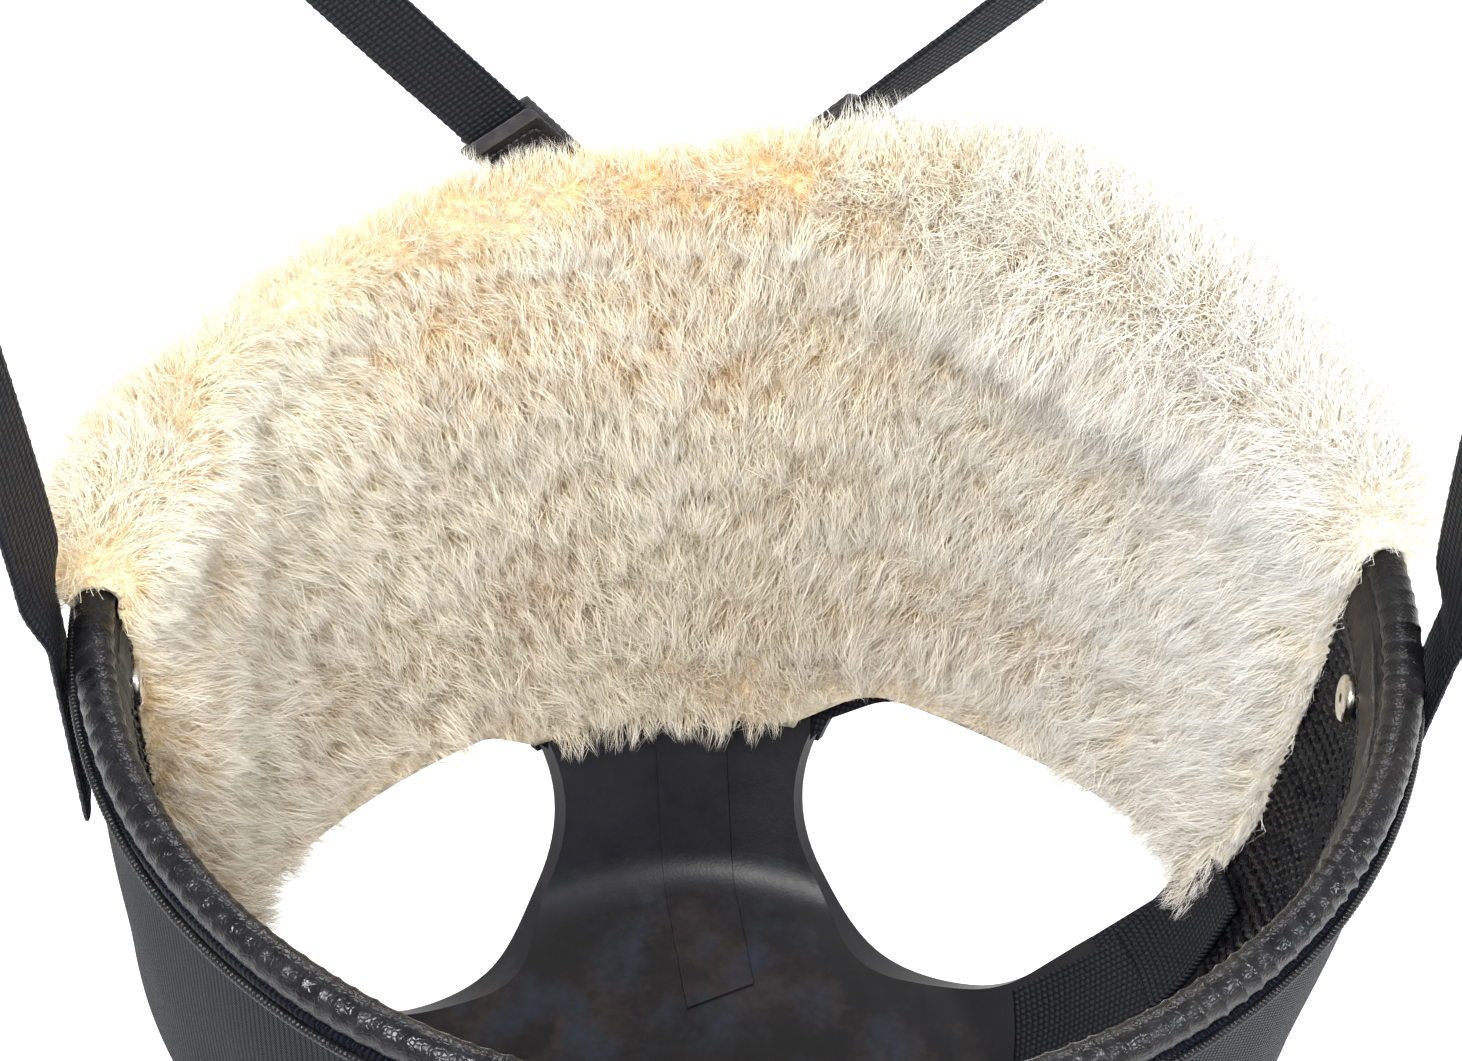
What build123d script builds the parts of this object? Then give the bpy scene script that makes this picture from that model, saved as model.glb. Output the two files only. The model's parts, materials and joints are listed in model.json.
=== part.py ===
from build123d import *
import os
from math import atan2, cos, degrees, radians, sin

# Horse grazing muzzle: a woven basket on a rubber base, with a sheepskin nose pad and four webbing hangers.
# Frame: origin at the centre of the rubber base's underside, +Z up, +Y towards the front of the nose.
# All sizes are in millimetres.

# basket wall
rim_half_width = 132.0      # outer face at the rim, along X
rim_half_depth = 119.0      # outer face at the rim, along Y
wall_height = 182.0         # from the base's underside to the wall's cut top edge
wall_profile = [            # height, and the basket's size there as a share of the rim
    (0.0, 0.525),
    (30.0, 0.71),
    (60.0, 0.88),
    (95.0, 0.965),
    (wall_height, 1.0),
]
shell_thickness = 2.0
padding_thickness = 4.0
lining_thickness = 1.2
hide_thickness = 1.4
layer_gap = 0.1             # between two layers that are sewn together
padding_gap = 2.0           # from the padding to the rim, the rubber's upstand and the rubber strip
padding_setback = 8.0       # of the padding's edge around the openings
shell_lower_edge = 14.0
lining_lower_edge = 26.0
nose_lower_edge = 38.0      # lower edge of the nose panel at the centre
panel_half_width = 60.0     # of the gap below the nose panel that the rubber strip closes

# sheepskin pile
pile_thickness = 15.0
pile_roll_radius = 14.0     # where the wool stands over the rim
pile_edge_at_rim = 12.0     # Y of the pad's side edges, at the rim
pile_edge_at_corner = 10.0  # and at the openings' corners
pile_clearance = 0.4
pile_apron = 40.0           # how far the wool is cut down behind the openings' corners
pile_side_gap = 1.2         # from the pad's side edges to the wool
hide_side_gap = 0.4         # and to the hide

# rolled rim
rim_core_radius = 2.5
rim_leather_thickness = 1.1
rim_seat_gap = 0.3
tape_radius = 1.1
tape_drop = 2.0             # below the wall's top edge
facing_thickness = 1.1
facing_height = 13.0
facing_tuck = 6.0           # how far the facing runs in behind the wool

# rubber base
rubber_thickness = padding_thickness     # so that it butts flush against the padding
base_corner_radius = 18.0
rubber_upstand = 34.0
strip_top = 60.0            # where the centre strip ends, behind the nose panel
strip_half_width = 32.0
grass_hole_radius = 12.0
grass_hole_y = -9.0
inlay_half_width = 8.5
inlay_thickness = 1.2
inlay_end = 21.0            # Y of the inlaid strap's lower end
inlay_turn = 4.0            # degrees
inlay_slant = 20.0          # degrees, of its lower end

# nostril openings
opening_bearing = 40.0      # degrees from +X towards +Y
opening_tilt = 25.0         # degrees that the cut looks down
opening_start = 15.0        # distance from the basket's middle where the cut starts
opening_radius = 41.0
opening_centre = (-2.0, 67.0)   # along the wall from the bearing, and up, in the cut's plane
opening_top_radius = 14.0
opening_top = (22.0, 66.0)
opening_corner_radius = 5.0
opening_corner = (-52.0, 90.0)
binding_width = 11.0
binding_overhang = 5.0      # how far the binding stands into the shell's larger cut
binding_drop = 6.0          # below the nose panel's lower edge
binding_rear = 12.0         # behind the openings' corners
webbing_thickness = 1.6

# cheek ties and corner patches
tie_width = 24.0
tie_length = 50.0
tie_lean = 10.0             # degrees from vertical
tie_centre = (-2.0, 42.0)   # Y and Z
patch_width = 22.0
patch_length = 30.0
patch_centre = (-2.0, 66.0)
patch_lean = -10.0

# rivets
rivet_head_radius = 5.0
rivet_head_height = 1.6
rivet_head_round = 0.7      # share of the head's height that is rounded
rivet_shank_radius = 1.9
rivet_hole_radius = 1.0
rivet_washer_radius = 4.5
rivet_washer_thickness = 0.9
rivet_height = wall_height - 17.0
rivet_offset = 4.0          # forward of the hanger's middle
rivet_clearance = 0.1
rivet_seat_gap = 0.5        # under the head
rivet_back_gap = 0.3        # under the washer

# hangers
side_width = 19.0
side_length = 150.0
side_y = {"right": -18.0, "left": -2.0}
side_lean = {"right": 8.0, "left": -3.0}   # degrees inwards from the wall
side_twist = {"right": 20.0, "left": 20.0}   # about the strap's length
side_foot = 46.0            # length sewn to the wall
side_flex_rise = 3.0        # from the top of the rim to the flex line
front_width = 16.0
front_length = 165.0
front_root_height = wall_height - 15.0
front_root_x = {"front_right": 8.0, "front_left": -18.0}
front_lean = {"front_right": -44.0, "front_left": 40.0}     # degrees from vertical
front_base_twist = {"front_right": 32.0, "front_left": 0.0}  # about its length, at the sleeve
front_rise = {"front_right": 4.6, "front_left": 0.0}    # how far the sleeve stands off its foot
front_top_twist = {"front_right": 20.0, "front_left": 0.0}   # and at the fold
front_foot = 14.0           # length sewn below the root
front_bend_start = -2.0     # where the foot starts to turn and lift, from the root
front_sleeve_start = 16.0   # distance from the root to the leather sleeve
twisted_length = 90.0
foot_stand_off = 2.8        # clears the tape on the shell's outer face
sleeve_length = 27.0
sleeve_wall = 1.3
sleeve_clearance = 0.15
sleeve_gap = 0.5            # from the lifted foot to the sleeve
channel_length = 140.0      # of the parting in the wool around a front hanger's root
channel_height = 6.4
channel_clearance = 0.6
flex_gap = 2.4              # from a hanger's flex line to the strap above it and the foot below
tail_gap = 0.6              # between the fold and the tail that opens
flap_length = 52.0
patch_thickness = 1.0
patch_margin = 14.0         # from the fold to the hook and loop patches
flap_margin = 3.0           # from the flap's free end to the patches
patch_inset = 1.0           # from the flap's edges
patch_gap = 0.3

padding_face = shell_thickness + layer_gap
inner_face = padding_face + padding_thickness       # where padding and rubber end
lining_face = inner_face + layer_gap
pile_face = lining_face + hide_thickness + layer_gap
rim_radius = rim_core_radius + layer_gap + rim_leather_thickness
rim_height = wall_height + rim_seat_gap + rim_radius
rim_inset = rim_radius
wall_stack = lining_face + lining_thickness
rubber_outside = shell_thickness + layer_gap
upper_wall = wall_height - wall_profile[-2][0]
upper_narrowing = wall_profile[-1][1] - wall_profile[-2][1]
flare_front = degrees(atan2(rim_half_depth * upper_narrowing, upper_wall))
flare_side = degrees(atan2(rim_half_width * upper_narrowing, upper_wall))
corner_height = opening_corner[1] * cos(radians(opening_tilt)) - opening_start
reach = rim_half_width + 50.0       # further from the middle than the wall
overrun = 1.0                       # how far a cut runs past the piece it cuts


def half_axes(height, inset):
    """Half width and half depth of the wall's face at a height, moved inwards by inset."""
    step = next((n for n, knee in enumerate(wall_profile[1:-1]) if height < knee[0]), len(wall_profile) - 2)
    (low, low_share), (high, high_share) = wall_profile[step], wall_profile[step + 1]
    share = low_share + (high_share - low_share) * (height - low) / (high - low)
    return rim_half_width * share - inset, rim_half_depth * share - inset


def ellipse_at(height, inset):
    return Plane.XY.offset(height) * Ellipse(*half_axes(height, inset))


def cone(inset, low, high):
    """Solid inside the wall's face between two heights."""
    knees = [height for height, share in wall_profile[1:-1] if low < height < high]
    return loft([ellipse_at(height, inset) for height in (low, *knees, high)], ruled=True)


def layer(outer, inner, low, high):
    """One layer of the wall, between two insets."""
    return cone(outer, low, high) - cone(inner, low - overrun, high + overrun)


def bowl(inset, floor, corner, top):
    """Solid inside of the basket with a flat floor and a rounded lower edge."""
    solid = cone(inset, floor, top)
    lowest = solid.edges().sort_by(Axis.Z)[0]
    return fillet(lowest, corner)


def both(piece):
    """The right-hand piece and its mirror image on the left."""
    return {"right": piece, "left": mirror(piece, Plane.YZ)}


def on_side(side, piece):
    return piece if side == "right" else mirror(piece, Plane.YZ)


def opening_prism(grow=0.0, apron=0.0):
    """Right-hand nostril opening run outwards through the wall, with its rear cut down by apron."""
    level = Vector(cos(radians(opening_bearing)), sin(radians(opening_bearing)), 0)
    along = Vector(-level.Y, level.X, 0)
    outward = level * cos(radians(opening_tilt)) - Vector(0, 0, sin(radians(opening_tilt)))
    face = Plane(origin=(0, 0, 0), x_dir=along, z_dir=outward)
    bottom = Circle(opening_radius + grow) & Rectangle(reach, reach, align=(Align.CENTER, Align.MAX))
    outline = (Pos(*opening_centre) * bottom).edges()
    outline += (Pos(*opening_top) * Circle(opening_top_radius + grow)).edges()
    outline += (Pos(*opening_corner) * Circle(opening_corner_radius + grow)).edges()
    if apron:
        low_corner = (opening_corner[0] - apron, opening_corner[1] - apron)
        outline += (Pos(*low_corner) * Circle(opening_corner_radius + grow)).edges()
    return extrude(face.offset(opening_start) * make_hull(outline), reach)


def side_prism(centre, width, length, lean):
    """Rectangle in the YZ plane, run out along +X."""
    outline = Pos(*centre) * Rot(0, 0, lean) * Rectangle(width, length)
    return extrude(Plane.YZ * outline, reach)


def front_zone(offset):
    """Everything in front of the sheepskin's side edges."""
    slope = (pile_edge_at_rim - pile_edge_at_corner) / (wall_height - corner_height)
    low, high = -overrun, 2 * wall_height
    at_low = pile_edge_at_rim - slope * (wall_height - low) + offset
    at_high = pile_edge_at_rim + slope * (high - wall_height) + offset
    outline = Polyline((at_low, low), (at_high, high), (reach, high), (reach, low), close=True)
    return extrude(Plane.YZ * make_face(outline), reach, both=True)


def block(x, y, z):
    """Box from three (low, high) pairs."""
    size = [high - low for low, high in (x, y, z)]
    return Pos(x[0], y[0], z[0]) * Box(*size, align=(Align.MIN,) * 3)


def largest(piece):
    return max(piece.solids(), key=lambda solid: solid.volume)


def rope(radius, inset, height):
    """Round cord along the wall's ellipse."""
    width, depth = half_axes(height, inset)
    path = (Plane.XY.offset(height) * Ellipse(width, depth)).edges()[0]
    section = Plane(origin=(width, 0, height), x_dir=(1, 0, 0), z_dir=(0, 1, 0)) * Circle(radius)
    return sweep(section, path=path)


openings = {grow: both(opening_prism(grow)) for grow in (0.0, binding_overhang, padding_setback)}


def without_openings(piece, grow):
    return piece - openings[grow]["right"] - openings[grow]["left"]


def wall_parts():
    below_nose = block((-panel_half_width, panel_half_width), (0, reach), (0, nose_lower_edge))
    shell = without_openings(layer(0, shell_thickness, shell_lower_edge, wall_height), binding_overhang)
    padding = layer(padding_face, inner_face, rubber_upstand + padding_gap, wall_height - padding_gap)
    padding -= block((-panel_half_width, panel_half_width), (0, reach), (0, strip_top + padding_gap))
    lining = layer(lining_face, wall_stack, lining_lower_edge, wall_height - layer_gap)
    lining = without_openings(lining, binding_overhang) - front_zone(0)
    hide = layer(lining_face, lining_face + hide_thickness, nose_lower_edge, wall_height - layer_gap)
    hide = without_openings(hide, binding_overhang) & front_zone(hide_side_gap)
    return {
        "outer_shell": shell - below_nose,
        "wall_padding": without_openings(padding, padding_setback),
        "wall_lining": lining,
        "sheepskin_hide": largest(hide),
    }


def rim_parts():
    facing_face = wall_stack + layer_gap
    facing = layer(facing_face, facing_face + facing_thickness, wall_height - facing_height, wall_height)
    return {
        "rim_core": rope(rim_core_radius, rim_inset, rim_height),
        "rim_leather": rope(rim_radius, rim_inset, rim_height)
        - rope(rim_core_radius + layer_gap, rim_inset, rim_height),
        "rim_tape": rope(tape_radius, -tape_radius - layer_gap, wall_height - tape_drop),
        "rim_facing": facing - front_zone(-facing_tuck),
    }


def base_parts():
    outside = bowl(rubber_outside, 0, base_corner_radius, strip_top)
    inside_corner = base_corner_radius - rubber_thickness
    inside = bowl(inner_face, rubber_thickness, inside_corner, strip_top + overrun)
    above_upstand = block((-reach, reach), (-reach, reach), (rubber_upstand, strip_top + overrun))
    above_upstand -= block((-strip_half_width, strip_half_width), (0, reach), (0, strip_top + overrun))
    rubber = without_openings(outside - inside, 0.0) - above_upstand
    rubber -= Pos(0, grass_hole_y, 0) * Cylinder(grass_hole_radius, 3 * rubber_thickness)
    inlay_face = inner_face + layer_gap
    inlay = bowl(inlay_face, rubber_thickness + layer_gap, inside_corner - layer_gap, strip_top)
    inlay -= bowl(
        inlay_face + inlay_thickness,
        rubber_thickness + layer_gap + inlay_thickness,
        inside_corner - layer_gap - inlay_thickness,
        strip_top + overrun,
    )
    end = Pos(0, inlay_end, 0) * Rot(0, 0, inlay_slant) * block((-reach, reach), (0, reach), (0, reach))
    run = Rot(0, 0, inlay_turn) * block((0, 2 * inlay_half_width), (0, reach), (0, nose_lower_edge - overrun))
    inlay &= end & run
    return {"rubber_base": rubber, "centre_inlay": inlay}


def opening_trim():
    made = {}
    band = layer(-layer_gap - webbing_thickness, -layer_gap, nose_lower_edge - binding_drop, wall_height)
    band &= opening_prism(binding_width) - opening_prism(0)
    band -= block((-reach, reach), (-reach, pile_edge_at_corner - binding_rear), (0, wall_height))
    band -= block((0, reach), (-reach, reach), (0, nose_lower_edge))
    tie_face = wall_stack + layer_gap
    floor = rubber_thickness + layer_gap + lining_thickness
    corner = base_corner_radius - floor
    tie = bowl(tie_face, floor, corner, wall_height)
    tie -= bowl(
        tie_face + webbing_thickness,
        floor + webbing_thickness,
        corner - webbing_thickness,
        wall_height + overrun,
    )
    tie &= side_prism(tie_centre, tie_width, tie_length, tie_lean)
    tie -= opening_prism(0)
    patch_face = tie_face + webbing_thickness + layer_gap
    patch = layer(patch_face, patch_face + webbing_thickness, lining_lower_edge, wall_height)
    patch &= side_prism(patch_centre, patch_width, patch_length, patch_lean)
    patch -= opening_prism(0)
    for name, piece in (("opening_binding", band), ("cheek_tie", tie), ("corner_patch", patch)):
        for side, made_piece in both(piece).items():
            made[f"{side}_{name}"] = made_piece
    return made


def on_right_wall(y, height, inset):
    """Point on the right-hand wall, and the direction square to it that points inwards."""
    width, depth = half_axes(height, inset)
    x = width * (1 - (y / depth) ** 2) ** 0.5
    level = Vector(x / width**2, y / depth**2, 0).normalized() * -cos(radians(flare_side))
    return Vector(x, y, height), level + Vector(0, 0, sin(radians(flare_side)))


def rivet(y):
    """Tubular rivet through the right cheek, head inside, with its washer outside."""
    start, inwards = on_right_wall(y, rivet_height, 0)
    head_at = wall_stack + layer_gap + facing_thickness
    seat = Plane(origin=start + inwards * (head_at + rivet_seat_gap), z_dir=inwards)
    back = foot_stand_off + webbing_thickness + rivet_back_gap
    length = head_at + rivet_seat_gap + back + rivet_washer_thickness
    head = seat * (Pos(0, 0, rivet_head_height / 2) * Cylinder(rivet_head_radius, rivet_head_height))
    crown = head.edges().sort_by(lambda edge: (edge.center() - start).dot(inwards))[-1]
    head = fillet(crown, rivet_head_height * rivet_head_round)
    shank = seat * (Pos(0, 0, -length / 2) * Cylinder(rivet_shank_radius, length))
    bore = seat * Cylinder(rivet_hole_radius, 4 * length)
    washer_plane = seat.offset(-length + rivet_washer_thickness / 2)
    washer = washer_plane * Cylinder(rivet_washer_radius, rivet_washer_thickness)
    washer -= washer_plane * Cylinder(rivet_shank_radius + rivet_clearance, 2 * rivet_washer_thickness)
    hole = seat * Cylinder(rivet_shank_radius + rivet_clearance, 4 * length)
    return head + shank - bore, washer, hole


def side_frame(side):
    """Hanger built on the right: origin on its flex line, x across, y along the strap, z towards the horse."""
    origin, inwards = on_right_wall(
        side_y[side], rim_height + rim_radius + side_flex_rise, -foot_stand_off - webbing_thickness / 2
    )
    across = Vector(inwards.Y, -inwards.X, 0).normalized()
    on_wall = Plane(origin=origin, x_dir=across * -1, z_dir=inwards)
    return on_wall * Rot(side_lean[side], 0, 0) * Rot(0, side_twist[side], 0)


def front_frame(side, lift):
    """Front hanger: origin at its root, y along the strap, z inwards."""
    depth = half_axes(front_root_height, 0)[1]
    inwards = Vector(0, -cos(radians(flare_front)), sin(radians(flare_front)))
    straight_up = Vector(0, sin(radians(flare_front)), cos(radians(flare_front)))
    stand = foot_stand_off + webbing_thickness / 2 + lift
    origin = Vector(front_root_x[side], depth, front_root_height) - inwards * stand
    along = straight_up.rotate(Axis((0, 0, 0), inwards), front_lean[side])
    return Plane(origin=origin, x_dir=along.cross(inwards), z_dir=inwards)


def ply(width, low, high, bottom=-webbing_thickness / 2, thickness=webbing_thickness):
    """Flat length of webbing in a hanger's own frame."""
    return Pos(0, (low + high) / 2, bottom + thickness / 2) * Box(width, high - low, thickness)


def twisted_ply(width, low, high, turn, rise=0.0):
    """Length of webbing that starts flat and ends turned about its own length, and further out by rise."""
    steps = 6
    sections = []
    for n in range(steps + 1):
        along = Plane.XZ.offset(-low - (high - low) * n / steps)
        place = Pos(0, -rise * n / steps) * Rot(0, 0, turn * n / steps)
        sections.append(along * place * Rectangle(width, webbing_thickness))
    return loft(sections, ruled=True)


def hanger(width, length):
    """Strap, flap and patches in the hanger's own frame, flexing about the x axis at y = 0."""
    half = webbing_thickness / 2
    gap = 2 * patch_thickness + patch_gap
    main = ply(width, flex_gap, length)
    fold_at = Plane(origin=(-width / 2, length, -half - gap / 2), x_dir=(0, 1, 0), z_dir=(1, 0, 0))
    ring = Circle(gap / 2 + webbing_thickness) - Circle(gap / 2)
    half_ring = ring & (Pos(gap + webbing_thickness, 0) * Rectangle(2 * (gap + webbing_thickness), width))
    fold = extrude(fold_at * half_ring, width)
    flap_face = -half - gap - webbing_thickness
    flap = ply(width, length - tail_gap - flap_length, length - tail_gap, flap_face)
    low, high = length - flap_length + flap_margin, length - patch_margin
    return {
        "strap": main + fold,
        "flap": flap,
        "loop_patch": ply(width - 2 * patch_inset, low, high, -half - patch_thickness, patch_thickness),
        "hook_patch": ply(width - 2 * patch_inset, low, high, -half - gap, patch_thickness),
    }


def side_hanger(side):
    """Side hanger built on the right: its foot, on the outside of the shell, and its moving pieces."""
    frame, y = side_frame(side), side_y[side]
    top = rim_height + rim_radius + side_flex_rise - flex_gap
    foot = layer(-foot_stand_off - webbing_thickness, -foot_stand_off, wall_height - side_foot, top)
    foot &= block((0, reach), (y - side_width / 2, y + side_width / 2), (0, top + overrun))
    return foot, {name: frame * piece for name, piece in hanger(side_width, side_length).items()}, frame


def front_hanger(side, lift):
    """One front hanger: foot with its sleeved length, leather sleeve, and the moving pieces."""
    on_wall = front_frame(side, lift)
    twist = front_base_twist[side]
    rise = front_rise[side]
    turned = on_wall * Pos(0, 0, -rise) * Rot(0, twist, 0)
    joint_at = front_sleeve_start + sleeve_length + flex_gap
    foot = on_wall * ply(front_width, -front_foot, front_bend_start)
    foot += on_wall * twisted_ply(front_width, front_bend_start, front_sleeve_start, -twist, rise)
    foot += turned * ply(front_width, front_sleeve_start, joint_at - flex_gap)
    middle = front_sleeve_start + sleeve_length / 2 + sleeve_gap
    outer = Box(
        front_width + 2 * sleeve_wall,
        sleeve_length,
        webbing_thickness + 2 * (sleeve_clearance + sleeve_wall),
    )
    slot = Box(front_width + 2 * sleeve_clearance, 2 * sleeve_length, webbing_thickness + 2 * sleeve_clearance)
    sleeve = turned * (Pos(0, middle, 0) * (outer - slot))
    frame = turned * Pos(0, joint_at, 0)
    moving = hanger(front_width, front_length)
    untwist = front_top_twist[side] - twist
    if untwist:
        straight = Rot(0, untwist, 0)
        moving = {name: straight * piece for name, piece in moving.items()}
        moving["strap"] -= ply(3 * front_width, -overrun, twisted_length, -front_width, 2 * front_width)
        moving["strap"] += twisted_ply(front_width, flex_gap, twisted_length, -untwist)
    return foot, sleeve, {name: frame * piece for name, piece in moving.items()}, frame


def sheepskin_pile(cut_outs):
    """Wool over the nose panel and over the rim, with room for the rim and the front hangers."""
    inner = pile_face + pile_thickness
    band = layer(pile_face, inner, nose_lower_edge, rim_height)
    for under in both(opening_prism(binding_overhang, pile_apron)).values():
        band -= under
    roll = rope(pile_roll_radius, pile_face, rim_height)
    pile = (band + roll) & front_zone(pile_side_gap)
    pile -= layer(-pile_clearance, pile_face, nose_lower_edge - overrun, wall_height + overrun)
    pile -= rope(rim_radius + pile_clearance, rim_inset, rim_height)
    pile -= rope(tape_radius + 2 * pile_clearance, -tape_radius - layer_gap, wall_height - tape_drop)
    under_tape = wall_height - tape_drop - 2 * (tape_radius + pile_clearance)
    pile -= layer(-tape_radius * 2 - pile_clearance, pile_face, under_tape, wall_height + overrun)
    for piece in cut_outs:
        pile -= piece
    return largest(pile)


def build():
    nodes = {}
    nodes.update(wall_parts())
    nodes.update(rim_parts())
    nodes.update(base_parts())
    nodes.update(opening_trim())
    for side, y in side_y.items():
        foot, moving, frame = side_hanger(side)
        nodes[f"{side}_foot"] = on_side(side, foot)
        for name, piece in moving.items():
            nodes[f"{side}_{name}"] = on_side(side, piece)
        rivet_body, washer, hole = (on_side(side, piece) for piece in rivet(y + rivet_offset))
        nodes[f"{side}_rivet"] = rivet_body
        nodes[f"{side}_rivet_washer"] = washer
        for name in ("outer_shell", "wall_padding", "wall_lining", "rim_facing", f"{side}_foot"):
            nodes[name] = nodes[name] - hole

    cut_outs = []
    for side, lift in (("front_left", 0.0), ("front_right", webbing_thickness + layer_gap)):
        foot, sleeve, moving, frame = front_hanger(side, lift)
        nodes[f"{side}_foot"] = foot
        nodes[f"{side}_sleeve"] = sleeve
        for name, piece in moving.items():
            nodes[f"{side}_{name}"] = piece
        channel = Box(front_width + 2 * (sleeve_wall + channel_clearance), channel_length, channel_height)
        for share in (0, 0.5, 1):
            place = Pos(0, 0, -share * front_rise[side]) * Rot(0, share * front_base_twist[side], 0)
            cut_outs.append(front_frame(side, lift) * place * channel)
    nodes["sheepskin_pile"] = sheepskin_pile(cut_outs)
    return nodes


if __name__ == "__main__":
    os.makedirs("parts", exist_ok=True)
    for node, solid in build().items():
        export_step(solid, f"parts/{node}.step")
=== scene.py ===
import bpy
import bmesh
import json
import math
import numpy as np
from mathutils import Matrix, Vector, noise


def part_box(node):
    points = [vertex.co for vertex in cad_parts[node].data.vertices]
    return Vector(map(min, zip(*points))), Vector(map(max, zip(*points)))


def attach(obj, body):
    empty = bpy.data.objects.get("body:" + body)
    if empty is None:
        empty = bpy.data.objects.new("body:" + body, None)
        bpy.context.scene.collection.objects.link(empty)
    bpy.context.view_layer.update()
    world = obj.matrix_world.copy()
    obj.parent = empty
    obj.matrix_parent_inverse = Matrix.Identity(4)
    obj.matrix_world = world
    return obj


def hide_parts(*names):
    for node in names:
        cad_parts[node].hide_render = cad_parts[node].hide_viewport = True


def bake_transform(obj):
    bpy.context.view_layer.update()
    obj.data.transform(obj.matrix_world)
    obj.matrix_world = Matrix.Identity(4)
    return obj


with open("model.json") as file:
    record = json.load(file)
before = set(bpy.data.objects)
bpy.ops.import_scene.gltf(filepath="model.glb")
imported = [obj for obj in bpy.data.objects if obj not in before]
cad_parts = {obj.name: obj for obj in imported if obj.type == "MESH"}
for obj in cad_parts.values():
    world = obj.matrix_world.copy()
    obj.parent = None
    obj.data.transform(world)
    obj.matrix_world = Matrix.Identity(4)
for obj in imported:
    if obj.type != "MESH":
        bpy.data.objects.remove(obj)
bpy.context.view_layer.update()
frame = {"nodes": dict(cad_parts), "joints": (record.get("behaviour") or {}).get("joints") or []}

mm = 0.001
rng = np.random.default_rng(11)

# ---------------------------------------------------------------- the basket's wall, from the frame
wall = {
    "profile": [(0.0, 0.525), (0.030, 0.71), (0.060, 0.88), (0.095, 0.965)],  # height and share of the rim
    "smoothing": 0.010,
}
shellLow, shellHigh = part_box("outer_shell")
halfWidth, halfDepth, wallTop = shellHigh.x, shellHigh.y, shellHigh.z
pileLow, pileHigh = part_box("sheepskin_pile")
leatherLow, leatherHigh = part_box("rim_leather")
rimRadius = (leatherHigh.z - leatherLow.z) / 2
rimHeight = (leatherHigh.z + leatherLow.z) / 2

heights = np.linspace(-0.02, 0.24, 521)
knees = np.array(wall["profile"] + [(wallTop, 1.0)])
lastSlope = (knees[-1, 1] - knees[-2, 1]) / (knees[-1, 0] - knees[-2, 0])
firstSlope = (knees[1, 1] - knees[0, 1]) / (knees[1, 0] - knees[0, 0])
shares = np.interp(heights, knees[:, 0], knees[:, 1])
shares += np.where(heights > wallTop, (heights - wallTop) * lastSlope, 0)
shares += np.where(heights < 0, heights * firstSlope, 0)
window = int(wall["smoothing"] / (heights[1] - heights[0])) | 1
padded = np.pad(shares, window // 2, mode="reflect", reflect_type="odd")
shares = np.convolve(padded, np.ones(window) / window, mode="valid")


def wallPoints(theta, height, inset):
    share = np.interp(height, heights, shares)
    x = (halfWidth * share - inset) * np.cos(theta)
    y = (halfDepth * share - inset) * np.sin(theta)
    return np.stack(np.broadcast_arrays(x, y, height), -1)


def thetaAt(y, height, right=True):  # the bearing where the wall has this y
    theta = math.asin(np.clip(y / (halfDepth * np.interp(height, heights, shares)), -1, 1))
    return theta if right else math.pi - theta


def noiseAt(points, scale, offset=0.0):
    flat = points.reshape(-1, 3)
    found = [noise.noise(Vector(p) * scale + Vector((offset, 2 * offset, 0))) for p in flat]
    return np.array(found).reshape(points.shape[:-1])


# ---------------------------------------------------------------- meshes
def makeObject(name, verts, faces, uv=None, smooth=True):
    mesh = bpy.data.meshes.new(name)
    mesh.from_pydata([tuple(v) for v in verts], [], [tuple(f) for f in faces])
    if uv is not None:
        layer = mesh.uv_layers.new(name="UVMap")
        loops = np.zeros(len(mesh.loops), int)
        mesh.loops.foreach_get("vertex_index", loops)
        layer.data.foreach_set("uv", np.asarray(uv, np.float32)[loops].ravel())
    obj = bpy.data.objects.new(name, mesh)
    bpy.context.scene.collection.objects.link(obj)
    fixNormals(obj)
    if smooth:
        mesh.polygons.foreach_set("use_smooth", [True] * len(mesh.polygons))
    return obj


def fixNormals(obj):
    work = bmesh.new()
    work.from_mesh(obj.data)
    bmesh.ops.recalc_face_normals(work, faces=work.faces)
    work.to_mesh(obj.data)
    work.free()


def gridSolid(name, outer, inner, uv, closed=False):  # a closed sheet between two grids of points
    rows, cols = outer.shape[:2]
    verts = np.concatenate([outer.reshape(-1, 3), inner.reshape(-1, 3)])
    flatUv = np.concatenate([uv.reshape(-1, 2)] * 2)
    count = rows * cols
    index = np.arange(count).reshape(rows, cols)
    right = np.roll(index, -1, 1) if closed else index[:, 1:]
    left = index if closed else index[:, :-1]
    quads = np.stack([left[:-1], right[:-1], right[1:], left[1:]], -1).reshape(-1, 4)
    faces = [quads, quads[:, ::-1] + count]
    for row in (0, rows - 1):
        a, b = left[row], right[row]
        faces.append(np.stack([b, a, a + count, b + count], -1))
    if not closed:
        for col in (0, cols - 1):
            a, b = index[:-1, col], index[1:, col]
            faces.append(np.stack([a, b, b + count, a + count], -1))
    return makeObject(name, verts, np.concatenate(faces), flatUv)


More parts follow.
